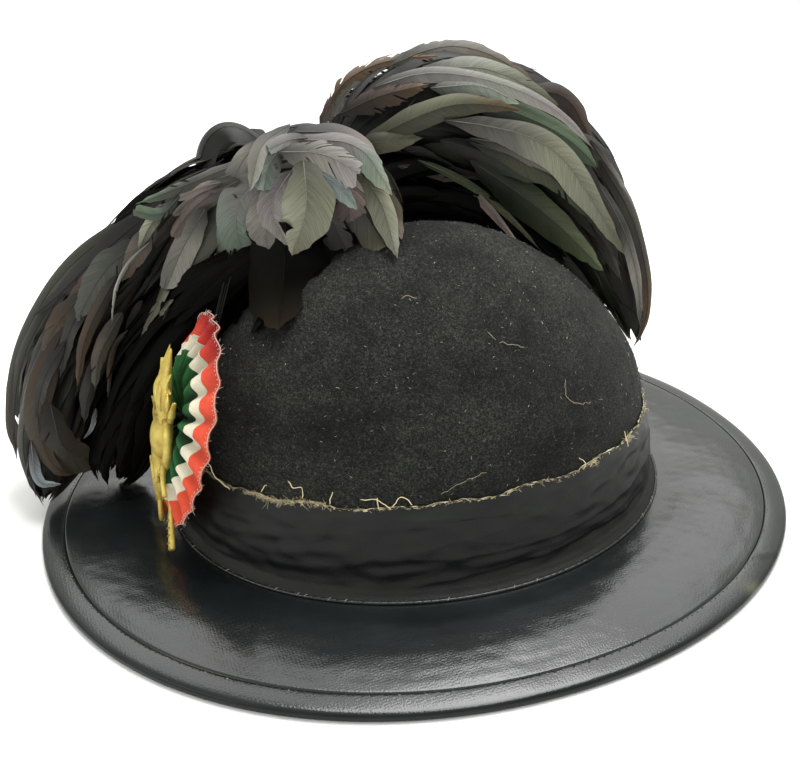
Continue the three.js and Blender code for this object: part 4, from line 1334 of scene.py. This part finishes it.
BACK_FEATHERS = [
    ([(320, 132), (339, 88), (383, 62), (440, 56)], 13, "leaf",
     (BROWN, RUST, (0.13, 0.085, 0.05), RUST), 0.75, -3),
    ([(326, 128), (354, 80), (398, 56), (441, 44)], 10, "leaf", (BROWN, OLIVE, OLIVE), 0.75, -4),
    ([(390, 66), (444, 46), (498, 58), (543, 92)], 10, "hackle",
     (OLIVE, GREY_SHEEN, (0.13, 0.11, 0.08), RUST), 0.35, -3),
    ([(400, 80), (464, 67), (512, 78), (560, 106)], 15, "leaf",
     (OLIVE, (0.36, 0.37, 0.32), (0.28, 0.3, 0.22), OLIVE), 0.06, -1),
    ([(520, 90), (566, 98), (594, 146)], 14, "leaf", (BROWN, (0.05, 0.035, 0.028), BROWN), 0.1, -2),
    ([(372, 88), (434, 72), (500, 84), (556, 110), (596, 152)], 9, "hackle",
     ((0.36, 0.34, 0.32), (0.4, 0.38, 0.36), (0.32, 0.33, 0.28), LILAC_SHEEN, GREY_SHEEN), 0.04, 3),
    ([(430, 88), (480, 86), (520, 104)], 12, "leaf", (GREY_SHEEN, (0.34, 0.37, 0.32), (0.28, 0.34, 0.27)), 0.04, 2),
    ([(470, 96), (525, 116), (570, 140), (598, 168)], 21, "leaf",
     (GREY_SHEEN, GREEN_SHEEN, GREEN_SHEEN, (0.06, 0.09, 0.05)), 0.04, 1),
    ([(352, 150), (409, 120), (464, 103), (521, 110)], 12, "leaf",
     (OLIVE, (0.13, 0.13, 0.085), OLIVE, RUST), 0.04, 6),
    ([(346, 150), (378, 142), (424, 138)], 11, "leaf", (OLIVE, (0.14, 0.14, 0.095), OLIVE), 0.12, 5),
    ([(336, 116), (380, 96), (430, 84)], 12, "leaf", (SOOT, (0.06, 0.04, 0.03), RUST), 0.4, 2),
    ([(444, 120), (497, 128), (548, 146), (580, 182), (626, 256)], 17, "leaf",
     (GREY_SHEEN, GREY_SHEEN, SAGE_SHEEN, (0.2, 0.205, 0.15), OLIVE), 0.04, 7),
    ([(470, 138), (530, 150), (572, 178), (612, 236)], 12, "leaf", (SLATE, GREY_SHEEN, GREY_SHEEN, SAGE_SHEEN), 0.12, 5),
    ([(470, 160), (520, 194), (566, 232), (604, 272)], 19, "leaf",
     (DARK, DEEP_GREEN, (0.07, 0.082, 0.045), (0.12, 0.15, 0.075)), 0.12, 4),
    ([(490, 196), (546, 246), (590, 294), (621, 332)], 13, "hackle",
     (DARK, SOOT, (0.04, 0.043, 0.032), SOOT), 0.3, 2),
    ([(470, 142), (520, 160), (566, 188), (596, 226)], 11, "leaf",
     (DEEP_GREEN, OLIVE, (0.075, 0.09, 0.05), DEEP_GREEN), 0.12, 4),
    ([(440, 140), (492, 156), (540, 184)], 12, "leaf", (DARK, SOOT, DEEP_GREEN), 0.12, 3),
    ([(590, 140), (624, 194), (641, 244), (647, 290)], 10, "hackle", (BROWN, GREY_SHEEN, RUST, SOOT), 0.08, 2),
    ([(600, 160), (636, 226), (648, 290), (644, 326), (631, 351)], 8, "hackle",
     (SOOT, (0.1, 0.09, 0.07), SLATE, RUST, BROWN), 0.12, 3),
    ([(596, 180), (624, 230), (638, 284), (640, 330)], 7, "hackle", (GREY_SHEEN, SLATE, GREY_SHEEN, SLATE), 0.1, 3),
    ([(560, 126), (604, 160), (632, 226)], 12, "leaf", (GREY_SHEEN, SLATE, OLIVE), 0.12, 0),
    ([(560, 160), (600, 208), (618, 262)], 12, "leaf", (SOOT, BROWN, SOOT), 0.12, 3),
]
# Near-black feathers laid where the plume lies in shade: painted shadow.
UNDER_FEATHERS = [
    ([(286, 222), (284, 276), (278, 331)], 36, "spade",
     (BLACK, (0.005, 0.0045, 0.003), (0.022, 0.017, 0.01)), 0.01, 8),
    ([(250, 236), (242, 286), (236, 322)], 20, "leaf", (BLACK, BLACK), 0.03, 1),
    ([(248, 232), (240, 270), (232, 316)], 24, "leaf", (BLACK, BLACK), 0.05, -2),
    ([(264, 236), (262, 282), (256, 330)], 24, "leaf", (BLACK, BLACK, DARK), 0.05, 3),
    ([(310, 226), (312, 250), (318, 276)], 24, "leaf", (BLACK, BLACK), 0.05, -1),
    ([(146, 236), (150, 262), (140, 300)], 16, "leaf", (BLACK, BLACK), 0.0, -9),
    ([(176, 190), (140, 212), (104, 250)], 16, "leaf", (BLACK, BLACK), 0.0, -9),
]
OVER_CROWN_FEATHERS = [
    ([(398, 166), (450, 178), (484, 204), (521, 248)], 5, "hackle", (OLIVE, ROSE_SHEEN, ROSE_SHEEN), 0.15, 5),
    ([(418, 160), (468, 184), (508, 216), (542, 252)], 4, "hackle",
     (GREEN_SHEEN, (0.17, 0.22, 0.11), (0.16, 0.15, 0.09), OLIVE), 0.04, 6),
]
# Near-black feathers laid where the back sweep lies in shade: painted shadow.
UNDER_BACK_FEATHERS = [
    ([(396, 186), (440, 204), (500, 222)], 16, "leaf", (BLACK, BLACK), 0.0, -9),
    ([(410, 200), (452, 214), (530, 246)], 14, "leaf", (BLACK, BLACK), 0.0, -9),
]


# The hood, the curl and the back of the loop, by pixels, distance, lean to the camera, width and colours
LOOP_STRAPS = [
    (
        [(202, 188), (200, 162), (208, 139), (224, 127), (244, 130), (266, 146)],
        464, 8, 17, (BLACK, (0.011, 0.012, 0.008), (0.008, 0.009, 0.006), BLACK),
    ),
    (
        [(226, 176), (226, 160), (234, 148), (246, 146), (258, 154)],
        468, 8, 6, (BLACK, (0.02, 0.015, 0.01), BLACK),
    ),
    ([(216, 190), (226, 164), (244, 148), (268, 148)], 474, 60, 24, (BLACK, BLACK)),
]


# How far from the camera the plume is looked for, in metres, with the step
SEARCH_REACH = (0.25, 0.689, 0.004)
FEATHER_LIFT = 2.5
CROWN_CLEARANCE, SUNK_AT_MOST = 0.0015, 0.05


def seat(trees, pixel, lift):
    """The surface's point at a pixel, or the point of that line of sight nearest to it, and its normal."""
    start = Vector(to_row(camera_place))
    line = Vector(sight_line(pixel))
    hits = [tree.ray_cast(start, line) for tree in trees]
    hits = [hit for hit in hits if hit[0] is not None]
    if hits:
        place, normal, _, _ = min(hits, key=lambda hit: hit[3])
        spot = from_row(place)
    else:
        steps = [start + line * away for away in np.arange(*SEARCH_REACH)]
        found = [(tree.find_nearest(step), step) for step in steps for tree in trees]
        (_, normal, _, _), step = min(found, key=lambda pair: pair[0][3])
        spot = from_row(step)
    return spot - sight_line(pixel) * lift, np.array(normal)


def add_seen_feathers(bundle, rng, trees, rows):
    for pixels, width, shape, tints, fray, lift in rows:
        line = smooth_path([(*pixel, 0) for pixel in pixels], 6)[:, :2]
        seats = [seat(trees, pixel, lift + FEATHER_LIFT) for pixel in line]
        path = np.array([spot for spot, _ in seats])
        depth = (path - camera_place) @ to_camera
        place = np.arange(len(depth))
        eased_depth = np.polyval(np.polyfit(place, depth, 2), place)
        path = camera_place + (path - camera_place) * (0.1 + 0.9 * eased_depth / depth)[:, None]
        normals = unit(unit(np.array([normal for _, normal in seats])).mean(axis=0) * 0.8 + to_camera)
        barbs = int(np.clip(width * 1.6 + len(pixels) * 9, 24, 60))
        camber, lopsided = rng.uniform(0.15, 0.4), rng.uniform(0.65, 1.0)
        add_feather(
            bundle, rng, path, normals, width, shape, tints,
            rows=barbs, fray=fray, camber=camber, lopsided=lopsided,
        )


# The way that the plume takes. Each row is a station: its middle, and the radii in the side view and across.
FRONT_COURSE = [
    ((-62, -60, 143), 15, 14), ((-70, -77, 126), 25, 22), ((-75, -96, 102), 29, 24),
    ((-75, -116, 81), 29, 24), ((-70, -134, 62), 28, 24), ((-60, -147, 44), 26, 22),
    ((-48, -156, 28), 18, 16), ((-36, -163, 16), 9, 8), ((-29, -167, 10), 3, 3),
]
BACK_COURSE = [
    ((-43, -25, 142), 8, 10), ((-54, -11, 152), 15, 17), ((-60, 7, 156), 25, 23), ((-60, 35, 154), 36, 28),
    ((-54, 66, 143), 37, 28), ((-42, 90, 123), 31, 23), ((-26, 102, 100), 21, 17), ((-11, 108, 77), 12, 11),
    ((3, 112, 53), 3.5, 3.5),
]
ROSETTE_COURSE = [
    ((-58, -76, 113), 12, 12), ((-46, -62, 126), 26, 24), ((-35, -43, 130), 32, 32),
    ((-27, -27, 130), 28, 31), ((-18, -17, 126), 20, 22), ((-8, -11, 121), 8, 8),
]
# Dark feathers that fill the hollows between the masses and the crown, made near black as painted shadow for
# the shade in those hollows
UNDER_FRONT_COURSE = [
    ((-22, -46, 120), 10, 10), ((-28, -66, 108), 18, 16), ((-36, -84, 90), 22, 18), ((-42, -100, 70), 23, 19),
    ((-42, -116, 50), 22, 19), ((-38, -127, 32), 20, 18), ((-34, -134, 18), 15, 15), ((-30, -138, 10), 5, 8),
]
UNDER_BACK_COURSE = [
    ((-36, -32, 128), 16, 14), ((-44, -6, 127), 22, 16), ((-48, 20, 124), 24, 17), ((-46, 46, 116), 22, 16),
    ((-40, 70, 102), 18, 14), ((-30, 88, 84), 13, 10),
]


def course_point(course, t, turn, share):
    """A point of a plume at t along its course, at a turn round its section and a share of its radius."""
    middles = smooth_path([row[0] for row in course], 120)
    radii = np.array([row[1:] for row in course], float)
    place = np.linspace(0, 1, len(middles))
    ahead, behind = (read_along(spot, place, middles) for spot in (min(t + 0.02, 1), max(t - 0.02, 0)))
    along = unit(ahead - behind)
    tall_way = unit(np.cross(along, [1, 0, 0]))
    wide_way = np.cross(along, tall_way)
    tall, wide = read_along(t, np.linspace(0, 1, len(course)), radii)
    out = tall_way * math.cos(turn) * tall + wide_way * math.sin(turn) * wide
    return read_along(t, place, middles) + out * share, unit(out)


def clear_of_crown(points):
    """Points moved out of the crown, where they had sunk into it."""
    made = []
    for point in np.asarray(points, float):
        spot = Vector(to_row(point))
        place, normal, _, distance = crown_tree.find_nearest(spot)
        sunk = (spot - place).dot(normal) < CROWN_CLEARANCE and distance < SUNK_AT_MOST
        made.append(from_row(place + normal * CROWN_CLEARANCE) if sunk else point)
    return np.array(made)


def add_plume_filling(bundle, rng, course, count, span, width, shapes, palette, fray):
    """Overlapping feathers all round a plume. Painted shade makes them darker in front, where they lie under
    the single ones.
    """
    for _ in range(count):
        start = max(rng.uniform(-0.02, 0.8), 0)
        end = min(start + rng.uniform(*span), rng.uniform(0.86, 1.0))
        turn = rng.uniform(0, 2 * np.pi)
        drift = rng.normal(0, 0.25)
        rise = rng.uniform(0.84, 0.98)
        found = [
            course_point(course, t, turn + drift * (t - start), rise * share)
            for t, share in zip(np.linspace(start, end, 4), (0.5, 0.82, 0.97, 1))
        ]
        path = clear_of_crown([point for point, _ in found])
        normals = np.array([normal for _, normal in found])
        first, second = rng.choice(len(palette), 2)
        # Painted shade: the side that faces the camera, under the single feathers, is darkened.
        seen = np.clip(unit(normals.mean(axis=0)) @ to_camera * 3, 0, 1)
        tints = np.array([palette[first], palette[first], palette[second]]) * (1 - 0.72 * seen)
        add_feather(
            bundle, rng, path, normals, rng.uniform(*width), rng.choice(shapes), tints,
            rows=18, fray=fray, camber=rng.uniform(0.2, 0.45), lopsided=rng.uniform(0.7, 1),
        )


def add_wisps(bundle, rng, course, count, tint):
    """Single loose barbs and hairs that stand out of a plume."""
    for _ in range(count):
        start = rng.uniform(0, 0.85)
        end = min(start + rng.uniform(0.06, 0.16), 1)
        turn = rng.uniform(0, 2 * np.pi)
        stops = ((start, 0.85), ((start + end) / 2, 1.0), (end, rng.uniform(1.0, 1.1)))
        spots = [course_point(course, t, turn + rng.normal() * 0.1, share)[0] for t, share in stops]
        tone = np.array(tint) * rng.uniform(0.5, 2)
        add_tube(bundle, smooth_path(clear_of_crown(spots), 8), 0.07, 3, tone)


def add_plume(feather, down):
    rng = np.random.default_rng(71)
    rosette_tree, front_tree, back_tree = (
        tree_of(name) for name in ("plume_rosette", "plume_front_fall", "plume_back_sweep")
    )
    slim, broad = ("hackle", "leaf"), ("leaf", "round", "square")
    dark = (DARK, DARK, SOOT, SOOT, BROWN, SLATE, DEEP_GREEN)
    front = Bundle()
    add_plume_filling(front, rng, FRONT_COURSE, 350, (0.25, 0.5), (5, 9), slim, dark, 0.08)
    add_seen_feathers(front, rng, [front_tree], FRONT_FEATHERS)
    add_wisps(front, rng, FRONT_COURSE, 40, SLATE)
    front.make("plume_front_feathers", feather, ["plume_front_fall"])
    # The under feathers are painted shadow: near black, with a finish of almost no gloss.
    under = Bundle()
    shade = (BLACK, DARK)
    add_plume_filling(under, rng, UNDER_FRONT_COURSE, 105, (0.3, 0.55), (8, 13), slim, shade, 0.06)
    add_plume_filling(under, rng, UNDER_BACK_COURSE, 95, (0.3, 0.55), (9, 15), slim, shade, 0.06)
    add_seen_feathers(under, rng, [rosette_tree, front_tree, back_tree, crown_tree], UNDER_FEATHERS)
    add_seen_feathers(under, rng, [back_tree], UNDER_BACK_FEATHERS)
    under.make("plume_under_feathers", down)
    back = Bundle()
    lively = (*dark, OLIVE, GREY_SHEEN, BROWN, DEEP_GREEN)
    add_plume_filling(back, rng, BACK_COURSE, 210, (0.25, 0.5), (9, 16), slim[::-1], lively, 0.06)
    add_seen_feathers(back, rng, [back_tree], BACK_FEATHERS)
    add_seen_feathers(back, rng, [back_tree, crown_tree], OVER_CROWN_FEATHERS)
    add_wisps(back, rng, BACK_COURSE, 40, OLIVE)
    back.make("plume_back_feathers", feather, ["plume_back_sweep"])
    rosette = Bundle()
    short = (SLATE, SOOT, SOOT, DARK, GREY_SHEEN, OLIVE, BROWN)
    add_plume_filling(rosette, rng, ROSETTE_COURSE, 150, (0.35, 0.6), (9, 15), broad, short, 0.08)
    add_seen_feathers(rosette, rng, [rosette_tree, crown_tree], ROSETTE_FEATHERS)
    add_loop(rosette, rng)
    rosette.make("plume_rosette_feathers", feather, ["plume_rosette"])


def add_loop(bundle, rng):
    """The glossy dark feather that bends over in a hood above the rosette, with a smaller curl inside."""
    for pixels, away, lean, width, tints in LOOP_STRAPS:
        path = np.array([camera_place + sight_line(pixel) * away for pixel in pixels])
        outward = unit(path - path.mean(axis=0) + to_camera * lean)
        add_feather(bundle, rng, path, outward, width, "strap", tints, rows=40, fray=0.0, camber=0.2)


QUILLS = 11
STEM_COURSE = np.array([(-8, -92, 78), (-16, -84, 95), (-24, -76, 111), (-32, -66, 122)], float)
STEM_SPREAD = np.array([0.7, 0.8, 1.2, 2.6])[:, None]


def add_stem(quill):
    """The bundle of bare quills behind the cockade."""
    rng = np.random.default_rng(81)
    stem = Bundle()
    for k in range(QUILLS):
        offset = np.array([math.cos(k * 2.4), math.sin(k * 2.4) * 0.6, 0.3 * math.sin(k)]) * (0.6 + 0.28 * k)
        path = smooth_path(clear_of_crown(STEM_COURSE + offset * STEM_SPREAD), 20)
        add_tube(stem, path, rng.uniform(0.35, 0.65), 6)
    stem.make("plume_quills", quill, ["plume_stem"])


# Lights and floor, in metres and watts. The panel's place behind the hat is in millimetres.

FLOOR_HALF = 60.0
SKY_COLOUR, SKY_STRENGTH = (1, 1, 0.95, 1), 0.8
PANEL_AWAY, PANEL_UP = 2150, 2350


def add_stage():
    corners = [(x * FLOOR_HALF, y * FLOOR_HALF, 0) for x, y in ((-1, -1), (1, -1), (1, 1), (-1, 1))]
    mesh = bpy.data.meshes.new("floor")
    mesh.from_pydata(corners, [], [(0, 1, 2, 3)])
    floor = bpy.data.objects.new("floor", mesh)
    finish = Finish("floor", Base_Color=(0.93, 0.93, 0.93), Roughness=0.9, Specular_IOR_Level=0.1)
    mesh.materials.append(finish.material)
    bpy.context.scene.collection.objects.link(floor)


def add_light(name, place, aim, size, power):
    data = bpy.data.lights.new(name, "AREA")
    data.shape = "RECTANGLE"
    data.size, data.size_y = size
    data.energy = power
    light = bpy.data.objects.new(name, data)
    way = Vector(place) - Vector(aim)
    light.location = place
    light.rotation_euler = way.to_track_quat("Z", "Y").to_euler()
    light.visible_camera = False
    bpy.context.scene.collection.objects.link(light)


def add_lights():
    world = bpy.data.worlds.new("studio")
    world.use_nodes = True
    background = world.node_tree.nodes["Background"]
    background.inputs["Color"].default_value = SKY_COLOUR
    background.inputs["Strength"].default_value = SKY_STRENGTH
    bpy.context.scene.world = world
    bpy.context.scene.view_settings.view_transform = "Standard"
    add_light("top", (-0.2, 0.4, 1.6), (0, 0, 0.05), (1.0, 1.0), 26)
    behind = -to_camera * [1, 1, 0] / math.cos(CAMERA_ELEVATION)
    add_light("panel", to_row(behind * PANEL_AWAY + [0, 0, PANEL_UP]), (0, 0, 0.05), (3.2, 1.9), 36)
    add_light("front", (0.5, -1.9, 1.1), (0, -0.1, 0.05), (1.2, 1.0), 8)


crown_tree = tree_of("crown")
felt = felt_finish()
fibre = fibre_finish("wool_fibre", 0.9)
thread = fibre_finish("thread", 0.8)
band_cloth = band_finish()
oilcloth = oilcloth_finish()
ribbon = ribbon_finish()
brass = brass_finish()
feather = feather_finish("feather", 0.22)
# Almost glossless finish for the near-black feathers of painted shadow
down = feather_finish("feather_painted_shadow", 0.04)
quill = quill_finish()
add_camera()
add_stage()
add_lights()
add_crown(felt, fibre)
add_band(band_cloth, thread)
add_brim(oilcloth, thread)
add_welt(oilcloth, thread)
add_cockade(ribbon, thread)
add_badge(brass)
add_plume(feather, down)
add_stem(quill)
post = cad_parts["cockade_post"]
post.data.materials.clear()
post.data.materials.append(brass)
